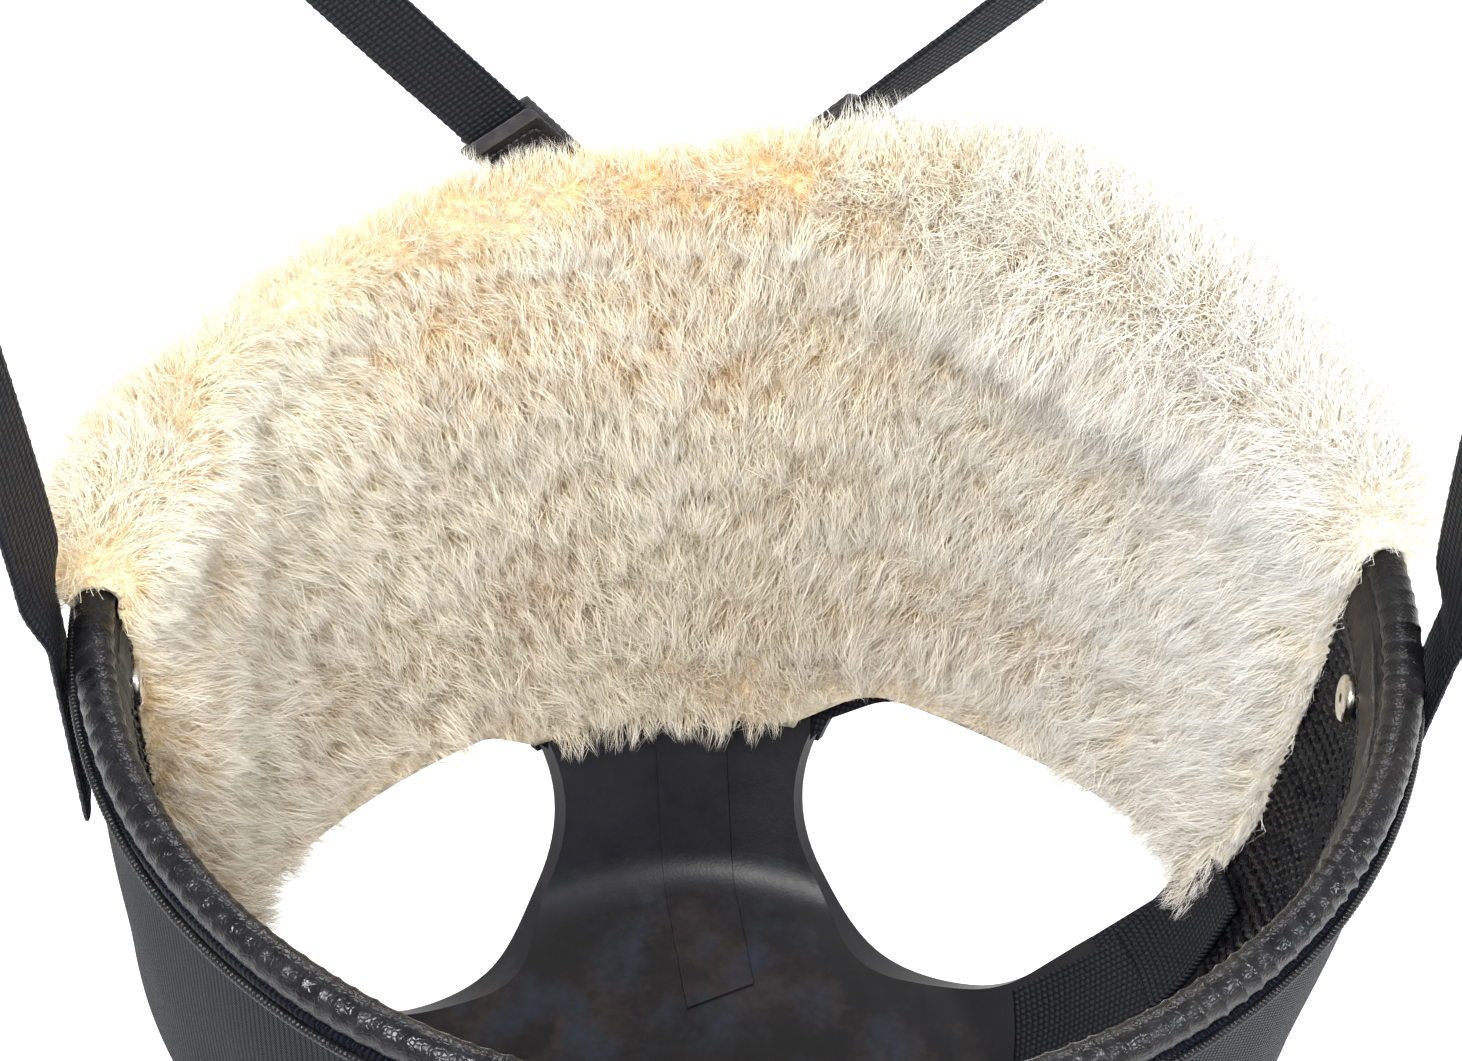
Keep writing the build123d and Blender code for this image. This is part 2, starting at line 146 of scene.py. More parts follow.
def openingOutline(grow=0.0, apron=0.0):
    def arc(centre, radius, start, end):
        angles = np.linspace(start, end, 48)
        return [(centre[0] + radius * math.cos(a), centre[1] + radius * math.sin(a)) for a in angles]

    points = arc(opening["centre"], opening["radius"] + grow, math.pi, 2 * math.pi)
    points += arc(opening["top"], opening["topRadius"] + grow, 0, 2 * math.pi)
    points += arc(opening["corner"], opening["cornerRadius"] + grow, 0, 2 * math.pi)
    if apron:
        low = (opening["corner"][0] - apron, opening["corner"][1] - apron)
        points += arc(low, opening["cornerRadius"] + grow, 0, 2 * math.pi)
    points = sorted(set((round(a, 7), round(b, 7)) for a, b in points))
    hull = []
    for sweep in (points, points[::-1]):  # the two sides of the convex outline
        side = []
        for p in sweep:
            while len(side) > 1:
                (ax, ay), (bx, by) = side[-2:]
                if (bx - ax) * (p[1] - ay) - (by - ay) * (p[0] - ax) > 0:
                    break
                side.pop()
            side.append(p)
        hull += side[:-1]
    return np.array(hull)


opening = {
    "bearing": 40.0,
    "tilt": 25.0,
    "radius": 0.041,
    "centre": (-0.002, 0.067),
    "topRadius": 0.014,
    "top": (0.022, 0.066),
    "cornerRadius": 0.005,
    "corner": (-0.052, 0.090),
    "start": 0.015,
    "reach": 0.160,
}
bearing, tilt = math.radians(opening["bearing"]), math.radians(opening["tilt"])
level = np.array([math.cos(bearing), math.sin(bearing), 0])
openAlong = np.array([-level[1], level[0], 0])
openOut = level * math.cos(tilt) - np.array([0, 0, math.sin(tilt)])
openUp = np.cross(openOut, openAlong)


def openingPrism(side, grow=0.0, apron=0.0):
    outline = openingOutline(grow, apron)
    base = outline[:, :1] * openAlong + outline[:, 1:] * openUp
    ends = [base + openOut * opening["start"], base + openOut * opening["reach"]]
    verts = np.concatenate(ends) * (side, 1, 1)
    n = len(outline)
    faces = [list(range(n)), list(range(n, 2 * n))[::-1]]
    faces += [[i, (i + 1) % n, n + (i + 1) % n, n + i] for i in range(n)]
    return makeObject("cutter", verts, faces, smooth=False)


def cut(obj, cutter, operation="DIFFERENCE"):
    modifier = obj.modifiers.new("cut", "BOOLEAN")
    modifier.object = cutter
    modifier.operation = operation
    modifier.solver = "EXACT"
    applyModifiers(obj)
    bpy.data.objects.remove(cutter)


def applyModifiers(obj):
    graph = bpy.context.evaluated_depsgraph_get()
    graph.update()
    result = bpy.data.meshes.new_from_object(obj.evaluated_get(graph), depsgraph=graph)
    obj.modifiers.clear()
    old = obj.data
    obj.data = result
    bpy.data.meshes.remove(old)
    result.name = obj.name


def cutOpenings(obj, grow=0.0, apron=0.0, sides=(1, -1)):
    for side in sides:
        cut(obj, openingPrism(side, grow, apron))
    return obj


def insideOpening(points, grow, apron=0.0):  # how far inside the opening each point is, in metres
    mirrored = points * (1, 1, 1)
    mirrored[..., 0] = np.abs(mirrored[..., 0])
    across = mirrored @ openAlong
    up = mirrored @ openUp
    outline = openingOutline(grow, apron)
    a, b = outline, np.roll(outline, -1, 0)
    edge = b - a
    edge /= np.linalg.norm(edge, axis=1, keepdims=True)
    best = np.full(across.shape, 1e9)
    for (ax, ay), (ex, ey) in zip(a, edge):
        best = np.minimum(best, (across - ax) * -ey + (up - ay) * ex)
    return best


def finish(obj, body, slot, material, *nodes):
    if material is not None:
        obj.data.materials.clear()
        obj.data.materials.append(material)
    if nodes:
        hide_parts(*nodes)
    if body is not None:
        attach(obj, body)
    return obj


# ---------------------------------------------------------------- node helpers
def node(tree, kind, inputs=None, **settings):
    made = tree.nodes.new(kind)
    for key, value in settings.items():
        setattr(made, key, value)
    for key, value in (inputs or {}).items():
        socket = made.inputs[key]
        if isinstance(value, bpy.types.NodeSocket):
            tree.links.new(value, socket)
        else:
            socket.default_value = value
    return made


def maths(tree, operation, a, b=0.0, c=0.0):
    return node(tree, "ShaderNodeMath", {0: a, 1: b, 2: c}, operation=operation).outputs[0]


def mixColour(tree, share, a, b):
    made = node(tree, "ShaderNodeMix", data_type="RGBA")
    for index, value in ((0, share), (6, a), (7, b)):
        if isinstance(value, bpy.types.NodeSocket):
            tree.links.new(value, made.inputs[index])
        elif index:
            made.inputs[index].default_value = (*value, 1)
        else:
            made.inputs[index].default_value = value
    return made.outputs[2]


def ramp(tree, value, low, high, outLow=0.0, outHigh=1.0):
    made = node(tree, "ShaderNodeMapRange", {0: value, 1: low, 2: high, 3: outLow, 4: outHigh})
    return made.outputs[0]


def noiseTexture(tree, scale, detail=3.0, vector=None, rough=0.5):
    made = node(tree, "ShaderNodeTexNoise", {"Scale": scale, "Detail": detail, "Roughness": rough})
    tree.links.new(vector or objectCoords(tree), made.inputs["Vector"])
    return made.outputs["Fac"]


def objectCoords(tree):
    return node(tree, "ShaderNodeTexCoord").outputs["Object"]


def newMaterial(name, roughness=0.5, sheen=0.0, coat=0.0, metallic=0.0, specular=0.5):
    material = bpy.data.materials.new(name)
    material.use_nodes = True
    tree = material.node_tree
    shader = tree.nodes["Principled BSDF"]
    shader.inputs["Roughness"].default_value = roughness
    shader.inputs["Metallic"].default_value = metallic
    shader.inputs["Specular IOR Level"].default_value = specular
    shader.inputs["Sheen Weight"].default_value = sheen
    shader.inputs["Coat Weight"].default_value = coat
    shader.inputs["Coat Roughness"].default_value = 0.2
    return material, tree, shader


def connect(tree, shader, colour=None, roughness=None, height=None, strength=0.5, distance=0.0005):
    if colour is not None:
        tree.links.new(colour, shader.inputs["Base Color"])
    if roughness is not None:
        tree.links.new(roughness, shader.inputs["Roughness"])
    if height is not None:
        bump = node(tree, "ShaderNodeBump", {"Strength": strength, "Distance": distance, "Height": height})
        tree.links.new(bump.outputs[0], shader.inputs["Normal"])


# ---------------------------------------------------------------- materials
def webbingMaterial(name, pitchAcross, pitchAlong, dark, light, twill=0.0, strength=0.9, specular=0.22):
    material, tree, shader = newMaterial(name, roughness=0.55, specular=0.22)
    uv = node(tree, "ShaderNodeSeparateXYZ", {0: node(tree, "ShaderNodeUVMap", uv_map="UVMap").outputs[0]})
    slanted = maths(tree, "MULTIPLY_ADD", uv.outputs[0], twill, uv.outputs[1])
    across = maths(tree, "COSINE", maths(tree, "MULTIPLY", uv.outputs[0], math.pi / pitchAcross))
    along = maths(tree, "COSINE", maths(tree, "MULTIPLY", slanted, math.pi / pitchAlong))
    weave = maths(tree, "POWER", maths(tree, "ABSOLUTE", maths(tree, "MULTIPLY", across, along)), 0.7)
    threads = maths(tree, "SINE", maths(tree, "MULTIPLY", slanted, 6 * math.pi / pitchAlong))
    fuzz = noiseTexture(tree, 1800.0, 2.0)
    height = maths(tree, "ADD", weave, maths(tree, "MULTIPLY_ADD", threads, 0.08, maths(tree, "MULTIPLY", fuzz, 0.3)))
    # painted highlight and shade: the raised weave is coloured lighter and the gaps between threads darker
    colour = mixColour(tree, ramp(tree, height, 0.2, 1.3), dark, light)
    rough = ramp(tree, height, 0.1, 1.2, 0.75, 0.42)
    connect(tree, shader, colour, rough, height, strength, 0.0006)
    shader.inputs["Specular IOR Level"].default_value = specular
    return material


def leatherMaterial(name, worn=0.0, roughness=0.3, grain=900.0):
    material, tree, shader = newMaterial(name, roughness=roughness, specular=0.35)
    coords = objectCoords(tree)
    cells = node(tree, "ShaderNodeTexVoronoi", {"Scale": grain, "Vector": coords}, feature="DISTANCE_TO_EDGE")
    fine = maths(tree, "MINIMUM", maths(tree, "MULTIPLY", cells.outputs[0], 4.0), 1.0)
    creases = noiseTexture(tree, 180.0, 4.0, coords, 0.65)
    height = maths(tree, "MULTIPLY_ADD", fine, 0.45, maths(tree, "MULTIPLY", creases, 0.5))
    place = node(tree, "ShaderNodeSeparateXYZ", {0: coords})
    rightSide = ramp(tree, place.outputs[0], -0.02, 0.12)
    patches = ramp(tree, noiseTexture(tree, 60.0, 4.0, coords), 0.42, 0.62)
    share = maths(tree, "MULTIPLY", maths(tree, "MULTIPLY", rightSide, patches), worn)
    black = mixColour(tree, ramp(tree, creases, 0.3, 0.7), (0.004, 0.004, 0.005), (0.013, 0.013, 0.015))
    colour = mixColour(tree, share, black, (0.075, 0.058, 0.046))
    rough = maths(tree, "ADD", ramp(tree, creases, 0.3, 0.7, roughness - 0.08, roughness + 0.12), maths(tree, "MULTIPLY", share, 0.25))
    connect(tree, shader, colour, rough, height, 0.35, 0.0004)
    return material


def woolMaterial(name, strands):
    material, tree, shader = newMaterial(name, roughness=0.75, sheen=0.25, specular=0.25)
    coords = objectCoords(tree)
    place = node(tree, "ShaderNodeSeparateXYZ", {0: coords})
    broad = noiseTexture(tree, 22.0, 3.0, coords)
    tufts = noiseTexture(tree, 150.0, 3.0, coords, 0.6)
    low = ramp(tree, place.outputs[2], 0.155, 0.060)  # painted shade: the wool is coloured greyer lower down, most at the left
    low = maths(tree, "MULTIPLY", low, ramp(tree, place.outputs[0], 0.09, -0.03, 0.45, 1.0))
    right = ramp(tree, place.outputs[0], 0.02, 0.12)
    honey = mixColour(tree, ramp(tree, broad, 0.38, 0.62), (0.96, 0.72, 0.38), (0.98, 0.88, 0.64))
    honey = mixColour(tree, right, honey, (0.98, 0.91, 0.76))
    shadeGrey = mixColour(tree, ramp(tree, tufts, 0.35, 0.65), (0.46, 0.355, 0.25), (0.76, 0.64, 0.48))
    shadeGrey = mixColour(tree, right, shadeGrey, (0.84, 0.80, 0.77))
    # painted shade: grey-brown is mixed into the roots and tips low down, standing for shade inside the basket
    shadeShare = maths(tree, "MULTIPLY", low, ramp(tree, broad, 0.25, 0.6, 1.0, 0.55))
    root = mixColour(tree, shadeShare, honey, shadeGrey)
    tip = mixColour(tree, maths(tree, "MULTIPLY", shadeShare, 0.55), (1.0, 0.96, 0.86), (0.82, 0.73, 0.60))
    tip = mixColour(tree, right, tip, (0.99, 0.98, 0.96))
    if strands:
        along = node(tree, "ShaderNodeAttribute", attribute_name="strand").outputs["Fac"]
        share = maths(tree, "MULTIPLY_ADD", maths(tree, "SUBTRACT", tufts, 0.5), 0.8, along)
        colour = mixColour(tree, ramp(tree, share, 0.15, 0.85), root, tip)
        connect(tree, shader, colour)
    else:
        height = maths(tree, "ADD", tufts, maths(tree, "MULTIPLY", noiseTexture(tree, 900.0, 2.0, coords), 0.5))
        connect(tree, shader, root, None, height, 0.8, 0.002)
    return material


def rubberMaterial():
    material, tree, shader = newMaterial("rubber", roughness=0.4, specular=0.3)
    coords = objectCoords(tree)
    place = node(tree, "ShaderNodeSeparateXYZ", {0: coords})
    cloudy = noiseTexture(tree, 34.0, 5.0, coords, 0.7)
    fine = noiseTexture(tree, 1500.0, 3.0, coords)
    # painted sheen: warm and bluish reflection clouds coloured into the low rubber floor
    floorSheenShare = maths(tree, "MULTIPLY", ramp(tree, place.outputs[2], 0.012, 0.004), ramp(tree, cloudy, 0.48, 0.66))
    floorSheen = mixColour(tree, ramp(tree, noiseTexture(tree, 70.0, 2.0, coords), 0.4, 0.6), (0.060, 0.040, 0.034), (0.026, 0.034, 0.050))
    base = mixColour(tree, cloudy, (0.010, 0.010, 0.012), (0.022, 0.022, 0.026))
    colour = mixColour(tree, floorSheenShare, base, floorSheen)
    rough = ramp(tree, cloudy, 0.3, 0.7, 0.34, 0.52)
    height = maths(tree, "MULTIPLY_ADD", fine, 0.3, cloudy)
    connect(tree, shader, colour, rough, height, 0.25, 0.0006)
    return material


def liningMaterial():
    material, tree, shader = newMaterial("raisedKnit", roughness=0.2, specular=0.5)
    uv = node(tree, "ShaderNodeSeparateXYZ", {0: node(tree, "ShaderNodeUVMap", uv_map="UVMap").outputs[0]})
    ribs = maths(tree, "SINE", maths(tree, "MULTIPLY", uv.outputs[1], 2 * math.pi / 0.75))
    bent = noiseTexture(tree, 320.0, 3.0)
    height = maths(tree, "ADD", maths(tree, "MULTIPLY", ribs, 0.3), bent)
    colour = mixColour(tree, ramp(tree, bent, 0.3, 0.7), (0.003, 0.003, 0.004), (0.012, 0.012, 0.015))
    rough = ramp(tree, noiseTexture(tree, 900.0, 2.0), 0.35, 0.65, 0.12, 0.35)
    connect(tree, shader, colour, rough, height, 0.25, 0.0004)
    return material


def plainMaterial(name, dark, light, roughness, scale, bumpScale, metallic=0.0, strength=0.3, sheen=0.0):
    material, tree, shader = newMaterial(name, roughness=roughness, metallic=metallic, sheen=sheen)
    broad = noiseTexture(tree, scale, 4.0)
    fine = noiseTexture(tree, bumpScale, 3.0)
    colour = mixColour(tree, ramp(tree, broad, 0.35, 0.65), dark, light)
    rough = ramp(tree, fine, 0.3, 0.7, roughness - 0.08, roughness + 0.1)
    connect(tree, shader, colour, rough, fine, strength, 0.0004)
    return material


webbing = webbingMaterial("webbing", 1.65, 1.35, (0.0025, 0.0028, 0.004), (0.022, 0.025, 0.036))
shellWeave = webbingMaterial("shellWeave", 1.3, 1.1, (0.003, 0.0035, 0.006), (0.016, 0.019, 0.030), twill=1.0, specular=0.08)
rollLeather = leatherMaterial("rollLeather", worn=0.1, roughness=0.27)
facingLeather = leatherMaterial("facingLeather", worn=0.6, roughness=0.42, grain=1100.0)
tabLeather = leatherMaterial("tabLeather", roughness=0.34)
suede = plainMaterial("suede", (0.018, 0.018, 0.021), (0.045, 0.045, 0.052), 0.85, 300.0, 2400.0, strength=0.5, sheen=0.2)
knit = liningMaterial()
rubber = rubberMaterial()
thread = plainMaterial("thread", (0.006, 0.006, 0.008), (0.030, 0.032, 0.040), 0.32, 500.0, 3500.0)
nickel = plainMaterial("nickel", (0.72, 0.66, 0.54), (0.82, 0.78, 0.70), 0.24, 260.0, 900.0, metallic=1.0, strength=0.1)
foam = plainMaterial("foam", (0.02, 0.02, 0.022), (0.05, 0.05, 0.055), 0.9, 200.0, 1800.0, strength=0.6)
hide = plainMaterial("hide", (0.55, 0.42, 0.27), (0.70, 0.58, 0.42), 0.85, 90.0, 1500.0, strength=0.5, sheen=0.2)
loopTape = plainMaterial("loopTape", (0.006, 0.006, 0.008), (0.030, 0.030, 0.034), 0.9, 900.0, 2600.0, strength=1.0, sheen=0.3)
hookTape = plainMaterial("hookTape", (0.006, 0.006, 0.007), (0.020, 0.020, 0.022), 0.5, 1600.0, 1600.0, strength=1.0)
woolStrands = woolMaterial("woolStrands", True)
woolGround = woolMaterial("woolGround", False)
print("materials made")

# ---------------------------------------------------------------- wall layers
shellPiece = {"step": 0.0022, "wobble": 0.0011, "wobbleScale": 26.0}


def wallSheet(name, thetaLow, thetaHigh, low, high, outside, inside, step, wobble=0.0, closed=False):
    length = (thetaHigh - thetaLow) * (halfWidth + halfDepth) / 2
    cols, rows = max(8, int(length / step)), max(4, int((high - low) / step))
    theta = np.linspace(thetaLow, thetaHigh, cols, endpoint=not closed)[None, :]
    height = np.linspace(low, high, rows)[:, None]
    middle = wallPoints(theta, height, outside)
    push = noiseAt(middle, shellPiece["wobbleScale"]) * wobble if wobble else 0.0
    outer = wallPoints(theta, height, outside + push)
    inner = wallPoints(theta, height, inside + push)
    uv = np.stack(np.broadcast_arrays(theta * (halfWidth + halfDepth) / 2 / mm, height / mm), -1)
    return gridSolid(name, outer, inner, uv, closed), outer, inner


fullTurn = 2 * math.pi
shell, _, _ = wallSheet("outerShell", 0, fullTurn, shellLow.z, wallTop, 0.0, 2 * mm, shellPiece["step"], shellPiece["wobble"], True)
cutOpenings(shell, 5 * mm)
belowNose = bpy.data.objects.new("cutter", bpy.data.meshes.new("cutter"))
bpy.context.scene.collection.objects.link(belowNose)
work = bmesh.new()
bmesh.ops.create_cube(work, size=1.0)
bmesh.ops.scale(work, vec=(0.120, 0.120, 0.043), verts=work.verts)
bmesh.ops.translate(work, vec=(0, 0.065, 0.0165), verts=work.verts)
work.to_mesh(belowNose.data)
work.free()
cut(shell, belowNose)
finish(shell, "muzzle", "woven_nylon", shellWeave, "outer_shell")

padLow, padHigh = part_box("wall_padding")
padding, _, _ = wallSheet("wallPadding", 0, fullTurn, 0.062, padHigh.z, 2.1 * mm, 6.0 * mm, 0.006, closed=True)
cutOpenings(padding, 8 * mm)
finish(padding, "muzzle", "foam", foam, "wall_padding")

pileEdgeRim, pileEdgeLow = 0.012, 0.010
edgeRight = thetaAt(0.011, 0.12)
edgeLeft = thetaAt(0.011, 0.12, False)
liningPiece = {"step": 0.0010, "pitch": 3.4 * mm, "bead": 0.75 * mm, "fold": 0.0011}


def makeLining():
    low, high = 0.028, wallTop - 0.001
    step = liningPiece["step"]
    start, end = edgeLeft - 0.12, fullTurn + edgeRight + 0.12
    length = (end - start) * (halfWidth + halfDepth) / 2
    cols, rows = int(length / step), int((high - low) / step)
    theta = np.linspace(start, end, cols)[None, :]
    height = np.linspace(low, high, rows)[:, None]
    u = theta * (halfWidth + halfDepth) / 2
    v = height + 0.35 * u
    pitch = liningPiece["pitch"]
    column = np.floor(u / pitch)
    du = u / pitch - column - 0.5
    dv = (v / pitch + 0.5 * (column % 2)) % 1.0 - 0.5
    bead = 0 * du * dv
    folds = np.sin((height * 1.0 + u * 0.55) / 0.0085) ** 3 * liningPiece["fold"] * 0.5
    middle = wallPoints(theta, height, 6.3 * mm)
    folds = folds + noiseAt(middle, 60.0, 3.0) * liningPiece["fold"]
    front = wallPoints(theta, height, 7.4 * mm + folds + bead)
    back = wallPoints(theta, height, 6.2 * mm)
    uv = np.stack(np.broadcast_arrays(u / mm, height / mm), -1)
    made = gridSolid("wallLining", front, back, uv)
    for side in (1, -1):
        cut(made, openingPrism(side, 5 * mm))
    return made


lining = makeLining()
finish(lining, "muzzle", "knit_lining", knit, "wall_lining")


def bumpTree():  # a small pyramid standing on every vertex
    tree, given, out = geometryTree("bumpsOnVertices", {
        "Radius": ("NodeSocketFloat", 1.0 * mm),
        "Height": ("NodeSocketFloat", 1.0 * mm),
        "Finish": ("NodeSocketMaterial", None),
    })
    cone = node(tree, "GeometryNodeMeshCone", {"Vertices": 4, "Radius Top": 0.12, "Radius Bottom": 1.0, "Depth": 1.0})
    aim = node(tree, "GeometryNodeInputNamedAttribute", {0: "aim"}, data_type="FLOAT_VECTOR").outputs[0]
    stand = node(tree, "FunctionNodeAlignRotationToVector", {"Vector": aim}, axis="Z")
    some = node(tree, "FunctionNodeRandomValue", {2: 0.85, 3: 1.1, "Seed": 4}, data_type="FLOAT").outputs[1]
    radius = maths(tree, "MULTIPLY", some, given.outputs["Radius"])
    size = node(tree, "ShaderNodeCombineXYZ", {0: radius, 1: radius, 2: given.outputs["Height"]})
    laid = node(tree, "GeometryNodeInstanceOnPoints", {
        "Points": given.outputs["Geometry"],
        "Instance": cone.outputs["Mesh"],
        "Rotation": stand.outputs[0],
        "Scale": size.outputs[0],
    })
    real = node(tree, "GeometryNodeRealizeInstances", {0: laid.outputs[0]})
    coloured = node(tree, "GeometryNodeSetMaterial", {0: real.outputs[0], "Material": given.outputs["Finish"]})
    tree.links.new(coloured.outputs[0], out.inputs[0])
    return tree


def makeBumps():
    pitch = liningPiece["pitch"]
    start, end = edgeLeft - 0.04, fullTurn + edgeRight + 0.04
    cols, rows = int((end - start) * 0.125 / (0.82 * pitch)), int(0.138 / pitch)
    theta = np.linspace(start, end, cols)[None, :]
    height = np.linspace(0.030, 0.168, rows)[:, None] + 0.5 * pitch * (np.arange(cols) % 2)[None]
    height = height + 0 * theta
    height = 0.030 + (height + 0.35 * theta * 0.125 - 0.030) % 0.138
    u = theta * 0.125
    folds = np.sin((height + u * 0.55) / 0.0085) ** 3 * liningPiece["fold"] * 0.5
    flat = wallPoints(theta, height, 6.3 * mm)
    folds = folds + noiseAt(flat, 60.0, 3.0) * liningPiece["fold"]
    spots = wallPoints(theta, height, 7.45 * mm + folds)
    clear = (-insideOpening(spots, 6.5 * mm) > 0).ravel()
    inward = -spots * (1, 1, 0)
    inward /= np.linalg.norm(inward, axis=-1, keepdims=True)
    aims = inward.reshape(-1, 3)[clear] + rng.normal(0, 0.05, (clear.sum(), 3))
    mesh = bpy.data.meshes.new("spots")
    mesh.from_pydata([tuple(p) for p in spots.reshape(-1, 3)[clear]], [], [])
    mesh.attributes.new("aim", "FLOAT_VECTOR", "POINT").data.foreach_set("vector", aims.astype(np.float32).ravel())
    obj = bpy.data.objects.new("liningBumps", mesh)
    bpy.context.scene.collection.objects.link(obj)
    return runTree(obj, bumpTree(), {"Radius": 1.35 * mm, "Height": 1.1 * mm, "Finish": knit})


hideLow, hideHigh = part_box("sheepskin_hide")
hideSheet, _, _ = wallSheet("sheepskinHide", edgeRight + 0.02, edgeLeft - 0.02, hideLow.z, hideHigh.z, 6.2 * mm, 7.5 * mm, 0.005)
cutOpenings(hideSheet, 5 * mm)
finish(hideSheet, "muzzle", "hide", hide, "sheepskin_hide")
print("wall layers made")

# ---------------------------------------------------------------- rolled rim
rim = {"creases": 178, "creaseDepth": 0.55 * mm, "steps": 2000, "round": 22}


def rimPath(theta, inset, height):
    share = np.interp(height, heights, shares)
    x, y = halfWidth * share - inset, halfDepth * share - inset
    return np.stack([x * np.cos(theta), y * np.sin(theta), np.full_like(theta, height)], -1)


def tubeAlong(name, path, outward, radii, uvLength):  # a closed tube; radii is one row per step
    steps, around = radii.shape
    angles = np.linspace(0, fullTurn, around, endpoint=False)
    up = np.array([0, 0, 1.0])
    rings = path[:, None] + radii[..., None] * (
        np.cos(angles)[None, :, None] * outward[:, None] + np.sin(angles)[None, :, None] * up
    )
    index = np.arange(steps * around).reshape(steps, around)
    a, b = index, np.roll(index, -1, 0)
    faces = np.stack([a, b, np.roll(b, -1, 1), np.roll(a, -1, 1)], -1).reshape(-1, 4)
    u = np.repeat(np.linspace(0, uvLength, steps)[:, None], around, 1)
    uv = np.stack([u, np.broadcast_to(angles * radii.mean() / mm, u.shape)], -1)
    return makeObject(name, rings.reshape(-1, 3), faces, uv.reshape(-1, 2))


def makeRim():
    theta = np.linspace(0, fullTurn, rim["steps"], endpoint=False)
    path = rimPath(theta, rimRadius, rimHeight)
    wobble = noiseAt(path, 30.0, 5.0)
    outward = np.stack([np.cos(theta) / halfWidth, np.sin(theta) / halfDepth, 0 * theta], -1)
    outward /= np.linalg.norm(outward, axis=1, keepdims=True)
    angles = np.linspace(0, fullTurn, rim["round"], endpoint=False)
    phase = theta[:, None] * rim["creases"] + 5.0 * noiseAt(path, 70.0, 9.0)[:, None] + 1.1 * np.sin(angles)[None]
    crease = -np.abs(np.sin(phase / 2)) ** 0.5 * (0.45 + 0.55 * np.cos(angles - 0.6)[None] ** 2)
    depth = rim["creaseDepth"] * (0.6 + 0.8 * noiseAt(path, 45.0, 2.0) ** 2 * 4)[:, None]
    radii = rimRadius + 0.25 * mm + (crease + 0.5) * depth + wobble[:, None] * 0.3 * mm
    return tubeAlong("rimLeather", path, outward, radii, 800.0)


rimRoll = makeRim()
finish(rimRoll, "muzzle", "leather", rollLeather, "rim_leather")
thetaCore = np.linspace(0, fullTurn, 240, endpoint=False)
coreOut = np.stack([np.cos(thetaCore), np.sin(thetaCore), 0 * thetaCore], -1)
core = tubeAlong("rimCore", rimPath(thetaCore, rimRadius, rimHeight), coreOut, np.full((240, 10), 2.3 * mm), 800.0)
finish(core, "muzzle", "foam", foam, "rim_core")


def geometryTree(name, sizes):  # a tree with a geometry in, named sizes, and a geometry out
    tree = bpy.data.node_groups.new(name, "GeometryNodeTree")
    tree.interface.new_socket("Geometry", in_out="INPUT", socket_type="NodeSocketGeometry")
    for label, (kind, value) in sizes.items():
        made = tree.interface.new_socket(label, in_out="INPUT", socket_type=kind)
        if value is not None:
            made.default_value = value
    tree.interface.new_socket("Geometry", in_out="OUTPUT", socket_type="NodeSocketGeometry")
    return tree, tree.nodes.new("NodeGroupInput"), tree.nodes.new("NodeGroupOutput")


def runTree(obj, tree, values):  # sets the inputs by identifier, and turns the result into a plain mesh
    modifier = obj.modifiers.new(tree.name, "NODES")
    modifier.node_group = tree
    for item in tree.interface.items_tree:
        if item.item_type == "SOCKET" and item.in_out == "INPUT" and item.name in values:
            modifier[item.identifier] = values[item.name]
    graph = bpy.context.evaluated_depsgraph_get()
    graph.update()
    result = bpy.data.meshes.new_from_object(obj.evaluated_get(graph), depsgraph=graph)
    name = obj.name
    old = obj.data
    bpy.data.objects.remove(obj)
    made = bpy.data.objects.new(name, result)
    result.name = name
    bpy.context.scene.collection.objects.link(made)
    if isinstance(old, bpy.types.Mesh):
        bpy.data.meshes.remove(old)
    return made


def beadTree():  # beads laid head to tail along a curve
    tree, given, out = geometryTree("beadsAlong", {
        "Pitch": ("NodeSocketFloat", 1.0 * mm),
        "Radius": ("NodeSocketFloat", 1.0 * mm),
        "Stretch": ("NodeSocketFloat", 0.6),
        "Lean": ("NodeSocketFloat", 0.3),
        "Finish": ("NodeSocketMaterial", None),
    })
    points = node(tree, "GeometryNodeCurveToPoints", {0: given.outputs["Geometry"]}, mode="LENGTH")
    tree.links.new(given.outputs["Pitch"], points.inputs["Length"])
    bead = node(tree, "GeometryNodeMeshUVSphere", {"Segments": 8, "Rings": 5, "Radius": 1.0})
    along = maths(tree, "MULTIPLY", given.outputs["Pitch"], given.outputs["Stretch"])
    size = node(tree, "ShaderNodeCombineXYZ", {0: given.outputs["Radius"], 1: given.outputs["Radius"], 2: along})
    lean = node(tree, "ShaderNodeCombineXYZ", {0: given.outputs["Lean"]})
    turned = node(tree, "FunctionNodeRotateRotation", {0: points.outputs["Rotation"], 1: lean.outputs[0]}, rotation_space="LOCAL")
    laid = node(tree, "GeometryNodeInstanceOnPoints", {
        "Points": points.outputs["Points"],
        "Instance": bead.outputs["Mesh"],
        "Rotation": turned.outputs[0],
        "Scale": size.outputs[0],
    })
    real = node(tree, "GeometryNodeRealizeInstances", {0: laid.outputs[0]})
    smooth = node(tree, "GeometryNodeSetShadeSmooth", {0: real.outputs[0]})
    coloured = node(tree, "GeometryNodeSetMaterial", {0: smooth.outputs[0], "Material": given.outputs["Finish"]})
    tree.links.new(coloured.outputs[0], out.inputs[0])
    return tree


beads = beadTree()


def beadRow(name, points, pitch, radius, stretch, lean, material, cyclic=False):
    curve = bpy.data.curves.new(name, "CURVE")
    curve.dimensions = "3D"
    spline = curve.splines.new("POLY")
    spline.points.add(len(points) - 1)
    spline.points.foreach_set("co", np.concatenate([points, np.ones((len(points), 1))], 1).ravel())
    spline.use_cyclic_u = cyclic
    obj = bpy.data.objects.new(name, curve)
    bpy.context.scene.collection.objects.link(obj)
    return runTree(obj, beads, {"Pitch": pitch, "Radius": radius, "Stretch": stretch, "Lean": lean, "Finish": material})


